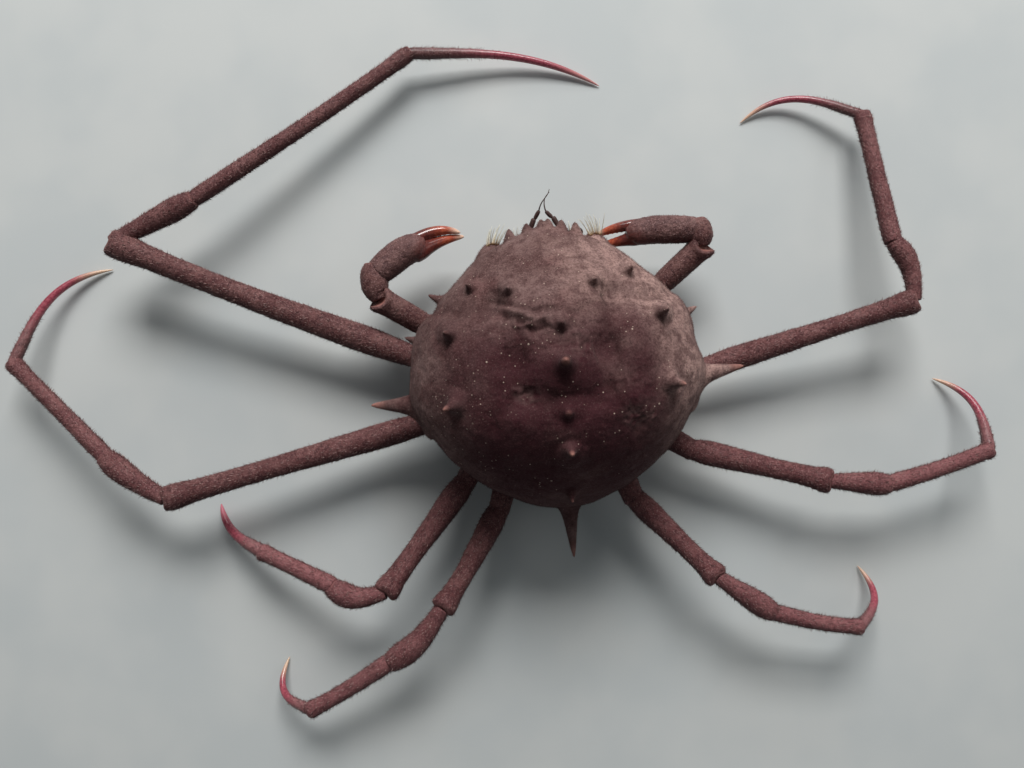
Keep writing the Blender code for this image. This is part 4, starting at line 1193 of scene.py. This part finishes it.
def make_felt(mesh):
    """Short soft hairs all over the shell, longer along its front edges and round the spines."""
    for index in range(FELT_PIECES):
        rng = np.random.default_rng(100 + index)
        roots, normals = surface_samples(mesh, FELT_HAIRS, rng)
        kept = roots[:, 2] > CARAPACE_EDGE + 0.4
        roots, normals = roots[kept], normals[kept]
        count = len(roots)
        level = np.clip(1.0 - np.abs(normals[:, 2]) * 1.6, 0.0, 1.0)
        front = np.clip((-roots[:, 1] - 2.0) / 10.0, 0.0, 1.0)
        lie = np.column_stack((roots[:, 0] * 0.02, np.tile(FELT_LIE, (count, 1))))
        ways = normals + lie * (1.0 - 0.7 * level[:, None]) + rng.normal(0.0, FELT_SPREAD, (count, 3))
        lengths = (0.2 + 0.12 * level * front) * rng.uniform(*FELT_LENGTHS, count)
        widths = rng.uniform(*FELT_WIDTHS, count)
        bend = rng.normal(0.0, FELT_BEND, (count, 3))
        # The hairs take the shell's marks, its painted light and painted shade among them.
        marks = carapace_marks(roots)
        add_coat(
            f"felt_{index + 1}", roots, ways, lengths, widths, bend, shell_unwrap(roots),
            marks, "felt")


# Limbs


def piece_shares(length, spacing):
    """Shares along a piece: even, with more near both ends."""
    middle = np.linspace(0.0, 1.0, max(int(length / spacing), 8))
    close = min(1.6 / length, 0.3)
    ends = np.linspace(0.0, close, 9)
    return np.unique(np.round(np.concatenate((middle, ends, 1.0 - ends)), 5))


def bowed_path(start, end, bow, shares):
    """Places along a piece, bowed to the left of its way as seen from above."""
    along = end - start
    bent = shares**BOW_LATE
    return start + along * shares[:, None] + left_of(along) * (4.0 * bow * bent * (1.0 - bent))[:, None]


# A finished limb piece as a grid, with what its coat needs to know.
Skin = namedtuple("Skin", "points normals along angle membrane")


# Rings that close a piece's far end: share of the rim's width, and way forward in radii.
SOCKET = ((0.92, 0.03), (0.84, -0.06), (0.74, -0.16), (0.5, -0.22), (0.25, -0.2))
CLAW_RECESS = 0.6
RIM_REACH = 2.2
LOBE_REACH = 2.4
DOME = ((0.95, 0.08), (0.88, 0.15), (0.77, 0.2), (0.6, 0.22), (0.36, 0.2), (0.12, 0.18))


def end_rings(last, way, radius, shape):
    """Rings that close the far end of a piece, as a socket or as a dome."""
    middle = last.mean(axis=0)
    return [middle + (last - middle) * share + way * (forward * radius) for share, forward in shape]


def closed_end(skin, way, shares, length, radius, kind):
    """A limb piece with its far rim drawn into lobes and closed by rings."""
    rim = skin.angle[0]
    socket = kind.end is SOCKET
    recess = CLAW_RECESS if socket else 0.35 * kind.lobes
    reach = radius * (0.55 * kind.lobes * np.cos(rim)**2 - recess * np.clip(np.sin(rim), 0.0, 1.0)**2)
    fall = np.clip((shares - (1.0 - LOBE_REACH / length)) * length / LOBE_REACH, 0.0, 1.0)**1.5
    points = skin.points + way * (fall[:, None] * reach[None])[..., None]
    rings = end_rings(points[-1], way, radius, kind.end)
    count = len(rings)
    pale = np.linspace(0.25, 1.0, count) if socket else np.linspace(0.1, 0.5, count)
    return Skin(
        np.concatenate((points, np.stack(rings))),
        np.concatenate((skin.normals, np.repeat(skin.normals[-1:], count, axis=0))),
        np.concatenate((skin.along, np.ones((count, len(rim))))),
        np.concatenate((skin.angle, np.repeat(skin.angle[-1:], count, axis=0))),
        np.concatenate((skin.membrane, np.repeat(pale[:, None], len(rim), axis=1))))


def limb_skin(start, end, kind, radius, overhang, grid, bow=0.0, lean=0.0):
    """The grid of one limb piece, which reaches overhang past its end and leans to the left by lean."""
    sides, spacing = grid
    length = np.linalg.norm(end - start)
    way = (end - start) / length
    shares = piece_shares(length, spacing)
    last = min(RIM_REACH / length, 0.35)
    near_end = np.clip((shares - (1.0 - last)) / last, 0.0, 1.0)
    centres = bowed_path(start, end, bow, shares)
    centres = centres + way * (overhang * near_end)[:, None]
    centres = centres + left_of(way) * (lean * np.clip((shares - 0.6) / 0.4, 0.0, 1.0)**1.6)[:, None]
    tube = round_tube(centres, curve_values(kind.profile, shares)[:, 0] * radius, sides)
    height = kind.relief(tube.points.reshape(-1, 3)).reshape(tube.share.shape)
    height = height * np.clip(1.1 - kind.fade * shares, 0.05, 1.0)[:, None]
    points = tube.points + tube.normals * height[..., None]
    along = np.repeat(shares[:, None], sides, axis=1)
    skin = Skin(points, tube.normals, along, tube.angle, np.zeros(along.shape))
    return closed_end(skin, way, shares, length, radius, kind) if kind.end else skin


def leg_relief(points):
    """Faint waves and grain of a leg's shell."""
    return 0.05 * layered(points, 2.4, 2, 41) + 0.025 * layered(points, 0.6, 2, 43)


def granular_relief(points):
    """Coarse grains and pits of the claws' shell."""
    bumps, _ = grains(points, 0.36, 51)
    pits, depth = grains(points, 0.7, 57)
    waves = 0.03 * layered(points, 2.0, 2, 53)
    return waves + 0.045 * bumps - 0.05 * pits * (depth > 0.7)


def smooth_relief(points):
    """The faint unevenness of polished shell."""
    return 0.015 * layered(points, 1.5, 2, 61)


# What a kind of limb piece needs: its profile, how far its far end reaches past the joint, in
# radii, and the lobes of that end; its short hairs for each square millimetre, their length and
# how far they stand up; its relief, how fast that fades along it, and the rings that close it; its
# share of the limb's blush; where its hairs thin out; and the setae of its edges: the share of the
# piece that bears them, and setae for each mm.
Kind = namedtuple(
    "Kind", "profile overhang lobes fuzz relief fade end blush bare fringe",
    defaults=(leg_relief, 0.0, DOME, 0.0, None, None))
KINDS = {
    "base": Kind(BASE_PROFILE, 0.0, 0.4, (6.0, 0.40, 0.4)),
    "merus": Kind(MERUS_PROFILE, -0.1, 0.45, (12.0, 0.50, 0.34), blush=0.2, fringe=(1.0, 1.3)),
    "carpus": Kind(CARPUS_PROFILE, 0.1, 0.25, (14.0, 0.48, 0.42), blush=0.7, fringe=(1.0, 3.6)),
    "propodus": Kind(PROPODUS_PROFILE, 0.1, 0.25, (14.0, 0.48, 0.42), blush=1.0, fringe=(1.0, 3.6)),
    "dactyl": Kind(
        DACTYL_PROFILE, 0.0, 0.0, (13.0, 0.42, 0.45), fade=1.6, end=(), blush=1.0, bare=0.15,
        fringe=(0.38, 3.6)),
    "claw_merus": Kind(CLAW_MERUS_PROFILE, 0.3, 0.25, (9.0, 0.34, 0.4), granular_relief, end=SOCKET),
    "claw_carpus": Kind(CLAW_CARPUS_PROFILE, 0.7, 0.0, (9.0, 0.28, 0.5), granular_relief),
    "claw_palm": Kind(PALM_PROFILE, 0.0, 0.0, (9.0, 0.28, 0.5), granular_relief, bare=0.5),
}
# Sides of a piece's rings, and their spacing in mm.
BASE_GRID = (40, 0.3)
STUMP_GRID = (40, 0.25)
LEG_GRID = (44, 0.36)
CLAW_GRID = (110, 0.13)
BASE_OVERHANG = 0.3
STUMP_OVERHANG = 0.2
STUMP_TONE = 0.4
# Short hairs: shares of their length, widths, how far they scatter and bend, and the thick pale ones.
FUZZ_LENGTHS = (0.5, 1.3)
FUZZ_WIDTHS = (0.045, 0.075)
FUZZ_SPREAD = 0.14
FUZZ_BEND = 0.08
PALE_CHANCE = 0.1
PALE_WIDTH = 0.095
UNWRAP_COLUMNS = 3
FRINGE_LENGTH = 0.6
FRINGE_WIDTH = 0.11
# Painted shade laid evenly on every seta of the fringes.
FRINGE_PAINTED_SHADE = 0.45
FRINGE_LENGTHS = (0.6, 1.2)
FRINGE_SPREAD = 0.16


Hairs = namedtuple("Hairs", "roots ways lengths widths light under unwrap")


def under(normals):
    """How far a limb's skin faces down or to the rear, away from the lamps: the share of its painted
    shade.
    """
    return np.clip((0.6 - normals[..., 2] + 0.45 * normals[..., 1]) / 0.9, 0.0, 1.0) * 0.9


def skin_piece(name, node, skin, material, tone=0.0, tip=0.0, blush=0.0):
    """Show a limb piece's grid as a closed mesh."""
    marks = {
        "along": end_marks(skin.along),
        "membrane": end_marks(skin.membrane),
        "tone": tone,
        "tip": tip,
        "blush": blush,
        # Painted shade on the lower and rear sides.
        "under": end_marks(under(skin.normals)),
    }
    add_piece(new_mesh(name, *tube_part(skin.points)), material, (node,), marks)


def shell_rings(skin):
    """How many rings of a limb piece come before those that close its end."""
    return int((skin.membrane[:, 0] <= 0.0).sum())


def fuzz_rows(skin, kind, cell, rng):
    """The short hairs on one limb piece."""
    density, length, stand = kind.fuzz
    sides = skin.points.shape[1]
    shell = shell_rings(skin)
    points = skin.points[:shell]
    across = np.linalg.norm(np.roll(points, -1, axis=1) - points, axis=2)[:-1]
    down = np.linalg.norm(points[1:] - points[:-1], axis=2)
    area = (across * down).ravel()
    count = int(area.sum() * density)
    chosen = rng.choice(len(area), count, p=area / area.sum())
    ring, step = chosen // sides, chosen % sides
    u, v = rng.random(count)[:, None], rng.random(count)[:, None]
    after = (step + 1) % sides
    near = points[ring, step] * (1 - u) + points[ring, after] * u
    far = points[ring + 1, step] * (1 - u) + points[ring + 1, after] * u
    roots = near * (1 - v) + far * v
    normals = skin.normals[ring, step]
    forward = unit(points[ring + 1, step] - points[ring, step])
    share = skin.along[ring, step]
    if kind.bare:
        kept = rng.random(count) > np.clip((share - kind.bare) / 0.35, 0.0, 1.0)
        roots, normals, forward, share = roots[kept], normals[kept], forward[kept], share[kept]
        ring, step = ring[kept], step[kept]
    count = len(roots)
    ways = normals * stand + forward * (1.0 - stand) + rng.normal(0.0, FUZZ_SPREAD, (count, 3))
    lengths = length * rng.uniform(*FUZZ_LENGTHS, count)
    pale = rng.random(count) < PALE_CHANCE
    widths = np.where(pale, PALE_WIDTH, rng.uniform(*FUZZ_WIDTHS, count))
    light = np.where(pale, rng.uniform(0.6, 1.0, count), 0.06)
    return Hairs(roots, ways, lengths, widths, light, under(normals), limb_unwrap(skin, ring, step, cell))


def limb_unwrap(skin, ring, step, cell):
    """Places on the unwrap of a limb, one cell for each piece."""
    turn, share = skin.angle[ring, step] / TAU, skin.along[ring, step]
    places = np.array(cell) + np.stack((turn, share), axis=1) * 0.96
    return places / UNWRAP_COLUMNS


def fringe_rows(skin, kind, cell, rng):
    """The stiff setae along both edges of one limb piece."""
    reach, density = kind.fringe
    shell = shell_rings(skin)
    sides = skin.points.shape[1]
    middles = skin.points[:shell].mean(axis=1)
    length = np.linalg.norm(np.diff(middles, axis=0), axis=1).sum()
    count = int(length * reach * density)
    share = np.tile(np.linspace(0.02, reach * 0.97, count), 2) + rng.normal(0.0, 0.1 / length, count * 2)
    ring = np.clip(np.searchsorted(skin.along[:shell, 0], share), 1, shell - 2)
    step = np.repeat((0, sides // 2), count) + rng.integers(-2, 3, count * 2)
    step %= sides
    roots = skin.points[ring, step]
    normals = skin.normals[ring, step]
    forward = unit(skin.points[ring + 1, step] - roots)
    count = len(roots)
    ways = normals + forward * 0.5 + rng.normal(0.0, FRINGE_SPREAD, (count, 3))
    lengths = FRINGE_LENGTH * rng.uniform(*FRINGE_LENGTHS, count)
    widths = np.full(count, FRINGE_WIDTH)
    light = rng.uniform(0.05, 0.35, count)
    # The setae all take the same share of painted shade.
    below = np.full(count, FRINGE_PAINTED_SHADE)
    return Hairs(roots, ways, lengths, widths, light, below, limb_unwrap(skin, ring, step, cell))


def make_limb(limb):
    """One leg or claw with its coat."""
    rng = np.random.default_rng(sum(ord(letter) for letter in limb.name))
    start = np.array(limb.start)
    claw = limb.root == "claw"
    root = mirrored(ROOTS[limb.root], limb.side)
    base = limb_skin(root, start, KINDS["base"], BASE_RADIUS, BASE_OVERHANG, BASE_GRID)
    node = limb.name + "_base"
    skin_piece("skin_" + node, node, base, "limb", limb.tone)
    rows = [(base, KINDS["base"])]
    for piece in limb.pieces:
        kind = KINDS["claw_" + piece.name if claw else piece.name]
        end = start + direction(piece.azimuth, piece.elevation) * piece.length
        skin = limb_skin(
            start, end, kind, piece.radius, kind.overhang * piece.radius, CLAW_GRID if claw else LEG_GRID,
            piece.bow, -limb.side * PALM_LEAN if piece.name == "palm" else 0.0)
        if piece.name == "palm":
            make_palm(limb, skin, end, piece)
        else:
            node = f"{limb.name}_{piece.name}"
            material, slot = ("dactyl", "dactyl") if piece.name == "dactyl" else ("limb", "leg")
            blush = limb.blush * kind.blush
            skin_piece("skin_" + node, node, skin, material, limb.tone, limb.tip, blush)
        rows.append((skin, kind))
        start = end
    make_fuzz(limb, rows, rng)


def make_fuzz(limb, rows, rng):
    """The short coat of one limb."""
    parts = []
    for index, (skin, kind) in enumerate(rows):
        cell = (index % UNWRAP_COLUMNS, index // UNWRAP_COLUMNS)
        parts.append(fuzz_rows(skin, kind, cell, rng))
        if kind.fringe:
            parts.append(fringe_rows(skin, kind, cell, rng))
    hairs = Hairs(*(np.concatenate(values) for values in zip(*parts)))
    bend = rng.normal(0.0, FUZZ_BEND, (len(hairs.roots), 3))
    # The hairs carry the painted shade of the skin at their roots.
    marks = {"tone": limb.tone, "light": hairs.light, "under": hairs.under}
    add_coat(
        "fuzz_" + limb.name, hairs.roots, hairs.ways, hairs.lengths, hairs.widths, bend, hairs.unwrap,
        marks, "fuzz")


FINGER_SIDES = 40
FINGER_RINGS = 70
KNOB_SIDES = 20
KNOB_RINGS = 9
PALM_LEAN = 0.75
PALM_VOXEL = 0.11


def finger_tube(limb, palm_end, palm, side):
    """The movable finger, side 1, or the fixed one, side -1, as a tube."""
    moving_tip, moving_bow, fixed_tip, fixed_bow, radius = FINGERS[limb.name]
    tip, bow = (moving_tip, moving_bow) if side > 0 else (fixed_tip, fixed_bow)
    way = direction(palm.azimuth, palm.elevation)
    start = palm_end + left_of(way) * (limb.side * side * FINGER_ROOT_SPREAD) - way * FINGER_SINK
    shares = np.linspace(0.0, 1.0, FINGER_RINGS)
    centres = bowed_path(start, np.array(tip), bow * limb.side, shares)
    profile = FINGER_PROFILE if side > 0 else FIXED_FINGER_PROFILE
    radii = curve_values(profile, shares)[:, 0] * radius
    tube = round_tube(centres, radii, FINGER_SIDES)
    inner = -limb.side * side
    facing = np.clip(inner * np.cos(tube.angle), 0.0, 1.0)**6
    teeth = 0.09 * np.clip(np.sin(tube.share * 62.0), 0.0, 1.0) * facing
    teeth *= np.clip(2.5 - 2.6 * tube.share, 0.0, 1.0)
    grooves = -0.05 * np.exp(-((np.abs(np.sin(tube.angle)) - 0.75) / 0.13)**2)
    height = teeth + grooves * (1.0 - tube.share)
    height = height + smooth_relief(tube.points.reshape(-1, 3)).reshape(tube.share.shape)
    return tube._replace(points=tube.points + tube.normals * height[..., None])


def make_palm(limb, skin, palm_end, palm):
    """The palm with the fixed finger growing out of it, and the movable finger."""
    fixed = finger_tube(limb, palm_end, palm, -1)
    way = direction(palm.azimuth, palm.elevation)
    out = left_of(way) * limb.side
    knob_root = palm_end - way * palm.length * 0.8 + out * palm.radius * 0.55
    knob_centres = knob_root + out * np.linspace(0.0, 1.0, KNOB_RINGS)[:, None]
    knob = round_tube(knob_centres, 0.8 * np.sqrt(np.linspace(1.0, 0.1, KNOB_RINGS)), KNOB_SIDES)
    parts = [tube_part(shape.points) for shape in (skin, fixed, knob)]
    mesh, places = remeshed(f"skin_{limb.name}_palm", parts, PALM_VOXEL, 9)
    move_vertices(mesh, places)
    places, normals = vertex_data(mesh)

    axis = fixed.points.mean(axis=1)
    nearest = np.argmin(np.linalg.norm(places[:, None] - axis[None], axis=2), axis=1)
    along = nearest / (len(axis) - 1)
    ahead = (places - palm_end) @ way
    inner = (places - palm_end) @ out
    edge = ahead + 2.2 - 0.9 * inner + 0.6 * layered(places, 1.2, 2, 63)
    flush = np.clip(edge / 4.4, 0.0, 1.0)
    height = granular_relief(places) * (1.0 - flush)
    move_vertices(mesh, places + normals * height[:, None])
    # The palm too gets painted shade on its lower and rear sides.
    marks = {"flush": flush, "along": along, "tone": limb.tone, "under": under(normals)}
    add_piece(mesh, "palm", (limb.name + "_palm",), marks)

    tube = finger_tube(limb, palm_end, palm, 1)
    finger = Skin(tube.points, tube.normals, tube.share, tube.angle, np.zeros(tube.share.shape))
    node = limb.name + "_finger"
    skin_piece("skin_" + node, node, finger, "finger")


def make_stump():
    """The stump of the missing right first walking leg."""
    root = mirrored(ROOTS["leg_1"], -1)
    skin = limb_skin(root, np.array(STUMP_END), KINDS["base"], BASE_RADIUS, STUMP_OVERHANG, STUMP_GRID)
    node = "leg_right_1_stump"
    skin_piece("skin_" + node, node, skin, "limb", STUMP_TONE)


# Underside and head


THORAX_GRID = (110, 140)
ABDOMEN_GRID = (120, 120)


def make_thorax():
    """The sternum with its sutures."""
    points, share_z = loft_points(THORAX_RINGS, *THORAX_GRID)
    flat = points.reshape(-1, 3)
    suture = np.zeros(len(flat))
    for (_, y, _) in list(ROOTS.values())[1:]:
        suture = np.maximum(suture, np.exp(-((flat[:, 1] - y + 2.6) / 0.35)**2))
    below = np.clip(-share_z.ravel(), 0.0, 1.0)
    flat[:, 2] += 0.35 * suture * below + 0.08 * layered(flat, 2.5, 3, 71) * below
    flat[:, 2] = np.minimum(flat[:, 2], CARAPACE_EDGE)
    mesh = new_mesh("sternum", *tube_part(flat.reshape(points.shape)))
    marks = {"dark": end_marks(suture.reshape(share_z.shape) * 0.7)}
    add_piece(mesh, "underside", ("thorax",), marks)
    make_under_felt(mesh)


UNDER_HAIRS = 26000


def make_under_felt(mesh):
    """Short hairs of the thorax, thickest under the shell's edge."""
    rng = np.random.default_rng(121)
    roots, normals = surface_samples(mesh, UNDER_HAIRS, rng)
    rise = np.clip((roots[:, 2] - 1.5) / (CARAPACE_EDGE - 1.5), 0.0, 1.0)
    kept = (rng.random(len(roots)) < 0.15 + 0.85 * rise) & (roots[:, 2] < CARAPACE_EDGE - 0.15)
    roots, normals, rise = roots[kept], normals[kept], rise[kept]
    count = len(roots)
    ways = normals + np.array((0.0, -0.2, -0.35)) + rng.normal(0.0, 0.3, (count, 3))
    lengths = (0.16 + 0.3 * rise) * rng.uniform(*FELT_LENGTHS, count)
    widths = rng.uniform(*FELT_WIDTHS, count)
    bend = rng.normal(0.0, FELT_BEND, (count, 3))
    add_coat(
        "felt_under", roots, ways, lengths, widths, bend, shell_unwrap(roots),
        {"pale": 0.2 * rng.random(count)}, "felt")


def make_abdomen():
    """The folded abdomen with the grooves between its somites."""
    points, share_z = loft_points(ABDOMEN_RINGS, *ABDOMEN_GRID)
    flat = points.reshape(-1, 3)
    groove = sum(np.exp(-((flat[:, 1] - edge) / SOMITE_GROOVE_WIDTH)**2) for edge in SOMITE_EDGES)
    below = np.clip(-share_z.ravel(), 0.0, 1.0)
    ridge = np.exp(-(flat[:, 0] / 2.2)**2)
    flat[:, 2] += (SOMITE_GROOVE * groove - 0.1 * ridge + 0.06 * layered(flat, 2.0, 3, 73)) * below
    flat[:, 2] = np.maximum(flat[:, 2], 0.0)
    mesh = new_mesh("folded_abdomen", *tube_part(flat.reshape(points.shape)))
    marks = {"dark": end_marks(np.clip(groove, 0.0, 1.0).reshape(share_z.shape) * 0.6)}
    add_piece(mesh, "underside", ("abdomen",), marks)


PLATE_RINGS = 40
PLATE_SIDES = 48


def rounded_plate(length, width, depth):
    """A pillow-like plate along X, as a grid."""
    shares = 0.5 - 0.5 * np.cos(np.pi * np.linspace(0.0, 1.0, PLATE_RINGS))
    outline = (1.0 - np.abs(2.0 * shares - 1.0)**3.2)**(1.0 / 3.2)
    angle = np.arange(PLATE_SIDES) * TAU / PLATE_SIDES
    across = np.copysign(np.abs(np.cos(angle))**0.7, np.cos(angle))
    rise = np.copysign(np.abs(np.sin(angle))**0.8, np.sin(angle))
    x = np.repeat((shares * length)[:, None], PLATE_SIDES, axis=1)
    y = outline[:, None] * across[None] * width * 0.5
    z = outline[:, None]**0.6 * rise[None] * depth * 0.5
    return np.stack((x, y, z), axis=-1)


# Mouth plates of the left side: name, start, end, width, depth.
MOUTH_PLATES = (
    ("ischium", (2.08, -13.4, 2.95), (2.15, -16.7, 6.4), 3.9, 2.1),
    ("merus", (2.15, -16.8, 6.4), (2.45, -18.8, 8.8), 3.7, 2.0),
    ("palp", (1.3, -18.9, 8.3), (0.9, -16.5, 4.8), 0.9, 1.3),
    ("exopod", (4.75, -13.6, 3.7), (4.9, -18.4, 8.7), 1.2, 1.9),
)


def make_mouth():
    """The third maxillipeds: two plates, a palp and an exopod on each side."""
    for side, word in ((1, "left"), (-1, "right")):
        parts, painted_wall_shade = [], []
        for _, start, end, width, depth in MOUTH_PLATES:
            start, end = mirrored(start, side), mirrored(end, side)
            way = unit(end - start)
            across = np.array((1.0, 0.0, 0.0))
            out = np.cross(way, across)
            across = np.cross(out, way)
            grid = rounded_plate(np.linalg.norm(end - start), width, depth)
            points = start + grid[..., :1] * way + grid[..., 1:2] * across + grid[..., 2:] * out
            shaped = points.reshape(-1, 3)
            relief = 0.07 * layered(shaped, 1.2, 3, 81)
            points = points + (unit(out) * relief[:, None]).reshape(points.shape)
            parts.append(tube_part(points))
            painted_wall_shade.append(end_marks(np.clip(1.0 - 3.2 * np.abs(grid[..., 2]) / depth, 0.0, 1.0)))
        verts, faces = joined(parts)
        mesh = new_mesh("mouth_plates_" + word, verts, faces)
        # Painted shade on the plates' sides, where they meet one another, and along the creases of their
        # faces.
        hollows = 0.6 * np.clip(creases(verts, 0.8, 2, 83) - 0.4, 0.0, 1.0)
        dark = np.maximum(np.concatenate(painted_wall_shade) * 0.9, hollows)
        add_piece(mesh, "underside", ("maxilliped_" + word,), {"dark": dark})


EYE_SIDES = 48
EYE_PROFILE = (
    (0.0, 0.62), (0.4, 0.66), (0.56, 0.9), (0.7, 1.0),
    (0.84, 0.94), (0.94, 0.66), (0.985, 0.3), (1.0, 0.05),
)


def make_eyes():
    """Each eye: a short stalk and a dark cornea."""
    for side, word in ((1, "left"), (-1, "right")):
        start, end = eye_ends(side)
        shares = np.sin(np.linspace(0.0, 0.5 * np.pi, EYE_SIDES))
        centres = start + (end - start) * shares[:, None]
        tube = round_tube(centres, curve_values(EYE_PROFILE, shares)[:, 0] * EYE_RADIUS, EYE_SIDES)
        stalk = np.repeat(np.clip((0.52 - shares) / 0.08, 0.0, 1.0)[:, None], EYE_SIDES, axis=1)
        skin = Skin(tube.points, tube.normals, tube.share, tube.angle, stalk)
        skin_piece("cornea_" + word, "eye_" + word, skin, "eye")


ANTENNA_SIDES = 16
ANTENNA_RINGS = 22
FLAGELLUM_RINGS = 90
FLAGELLUM_JOINTS = 16
ANTENNA_PROFILE = ((0.0, 0.7), (0.15, 0.95), (0.5, 1.05), (0.85, 0.98), (1.0, 0.72))


def make_antennae():
    """Three stout joints and a thin flagellum on each side."""
    for name, rows in ANTENNAE.items():
        parts = []
        for points, radius in zip(rows, ANTENNA_RADII):
            thin = len(points) > 2
            count = FLAGELLUM_RINGS if thin else ANTENNA_RINGS
            centres = smooth_path(points, count)
            shares = np.linspace(0.0, 1.0, count)
            if thin:
                joints = np.cos(shares * TAU * FLAGELLUM_JOINTS)
                radii = radius * (1.0 - 0.6 * shares) * (1.0 + 0.16 * joints)
            else:
                radii = curve_values(ANTENNA_PROFILE, shares)[:, 0] * radius
            tube = round_tube(centres, radii, ANTENNA_SIDES)
            relief = 0.03 * layered(tube.points.reshape(-1, 3), 0.4, 2, 91) * (not thin)
            points = tube.points + tube.normals * relief.reshape(tube.share.shape)[..., None]
            parts.append(tube_part(points))
        add_piece(new_mesh("stalk_" + name, *joined(parts)), "antenna", (name,))


BRISTLE_RADIUS = 0.095
BRISTLE_RINGS = 9
BRISTLE_SIDES = 5


def bristle_tube(root, way, length, curl, radius):
    """One long bristle, curled to one side towards its tip."""
    shares = np.linspace(0.0, 1.0, BRISTLE_RINGS)
    centres = root + way * (length * shares)[:, None] + curl * (length * shares**2)[:, None]
    radii = radius * (1.0 - 0.75 * shares + 0.4 * np.exp(-shares * 14.0))
    return round_tube(centres, radii, BRISTLE_SIDES).points


def make_bristles():
    """Fans of long bristles on the front, darker at their roots."""
    rng = np.random.default_rng(7)
    parts = []
    for place, count, length, width, spread, azimuth in BRISTLE_FANS:
        for index in range(count):
            share = (index + 0.5) / count * 2.0 - 1.0
            turn = azimuth + share * spread + rng.normal(0.0, 3.0)
            way = direction(turn, rng.uniform(-12.0, 48.0))
            inward = -math.copysign(1.0, place[0]) * rng.uniform(0.0, 0.25)
            curl = np.array((inward, 0.0, rng.uniform(-0.1, 0.1)))
            offset = (share * width, 0.3 * abs(share) + 0.25, rng.uniform(-0.3, 0.3))
            root = np.array(place) + np.array(offset)
            points = bristle_tube(root, way, length * rng.uniform(0.7, 1.05), curl, BRISTLE_RADIUS)
            parts.append(tube_part(points))
    fade = np.repeat(np.linspace(1.0, 0.0, BRISTLE_RINGS)[:, None]**4, BRISTLE_SIDES, axis=1)
    marks = {"root": np.tile(end_marks(fade), len(parts))}
    add_piece(new_mesh("front_bristles", *joined(parts)), "bristle", marks=marks)


# Stage


# Lamps: name, azimuth, elevation, distance, width and height in metres, and power.
LAMPS = (
    ("key", -97.0, 41.0, 0.75, 0.46, 0.25, 5.3),
    ("low", -100.0, 25.0, 0.80, 0.42, 0.14, 0.9),
    ("side", -160.0, 38.0, 0.80, 0.40, 0.30, 0.35),
)
FILL_STRENGTH = 0.11
LAMP_COLOUR = (1.0, 0.985, 0.965)
FILL_COLOUR = (0.90, 0.97, 1.0, 1.0)
FLOOR_REACH = 1200.0


def make_floor():
    """Plain pale floor."""
    corners = ((-1.0, -1.0, 0.0), (1.0, -1.0, 0.0), (1.0, 1.0, 0.0), (-1.0, 1.0, 0.0))
    mesh = new_mesh("floor", np.array(corners) * FLOOR_REACH, [np.array(((0, 1, 2, 3),))])
    nodes = Nodes("floor", Specular_IOR_Level=0.2)
    broad = nodes.span(nodes.noise(26.0, 3.0), 0.35, 0.65)
    colour = nodes.mix(broad, (0.60, 0.635, 0.64), (0.655, 0.68, 0.675))
    mesh.materials.append(nodes.finish_uneven(colour, 0.5, 0.7, 0.85))
    floor = bpy.data.objects.new("floor", mesh)
    bpy.context.scene.collection.objects.link(floor)


def make_light():
    """Soft light from the head's side and a weak fill from all round."""
    for name, azimuth, elevation, distance, width, height, power in LAMPS:
        light = bpy.data.lights.new(name, "AREA")
        light.shape = "RECTANGLE"
        light.size, light.size_y = width, height
        light.energy = power
        light.color = LAMP_COLOUR
        lamp = bpy.data.objects.new(name, light)
        way = Vector(direction(azimuth, elevation))
        lamp.location = way * distance
        lamp.rotation_euler = way.to_track_quat("Z", "Y").to_euler()
        bpy.context.scene.collection.objects.link(lamp)

    world = bpy.data.worlds.new("studio")
    world.use_nodes = True
    background = world.node_tree.nodes["Background"]
    background.inputs["Color"].default_value = FILL_COLOUR
    background.inputs["Strength"].default_value = FILL_STRENGTH
    bpy.context.scene.world = world


def make_camera():
    """The camera over the crab, looking straight down."""
    data = bpy.data.cameras.new("camera")
    data.lens = CAMERA_LENS
    data.sensor_width = CAMERA_SENSOR
    data.clip_start = 0.001
    camera = bpy.data.objects.new("camera", data)
    camera.location = Vector(CAMERA_PLACE) * MM
    camera.rotation_euler = (0.0, 0.0, math.radians(CAMERA_TURN))
    bpy.context.scene.collection.objects.link(camera)
    bpy.context.scene.camera = camera


make_camera()
make_floor()
make_light()
make_carapace()
for crab_limb in LIMBS:
    make_limb(crab_limb)
make_stump()
make_thorax()
make_abdomen()
make_mouth()
make_eyes()
make_antennae()
make_bristles()
bpy.context.scene.view_settings.view_transform = "Standard"

bpy.context.view_layer.update()
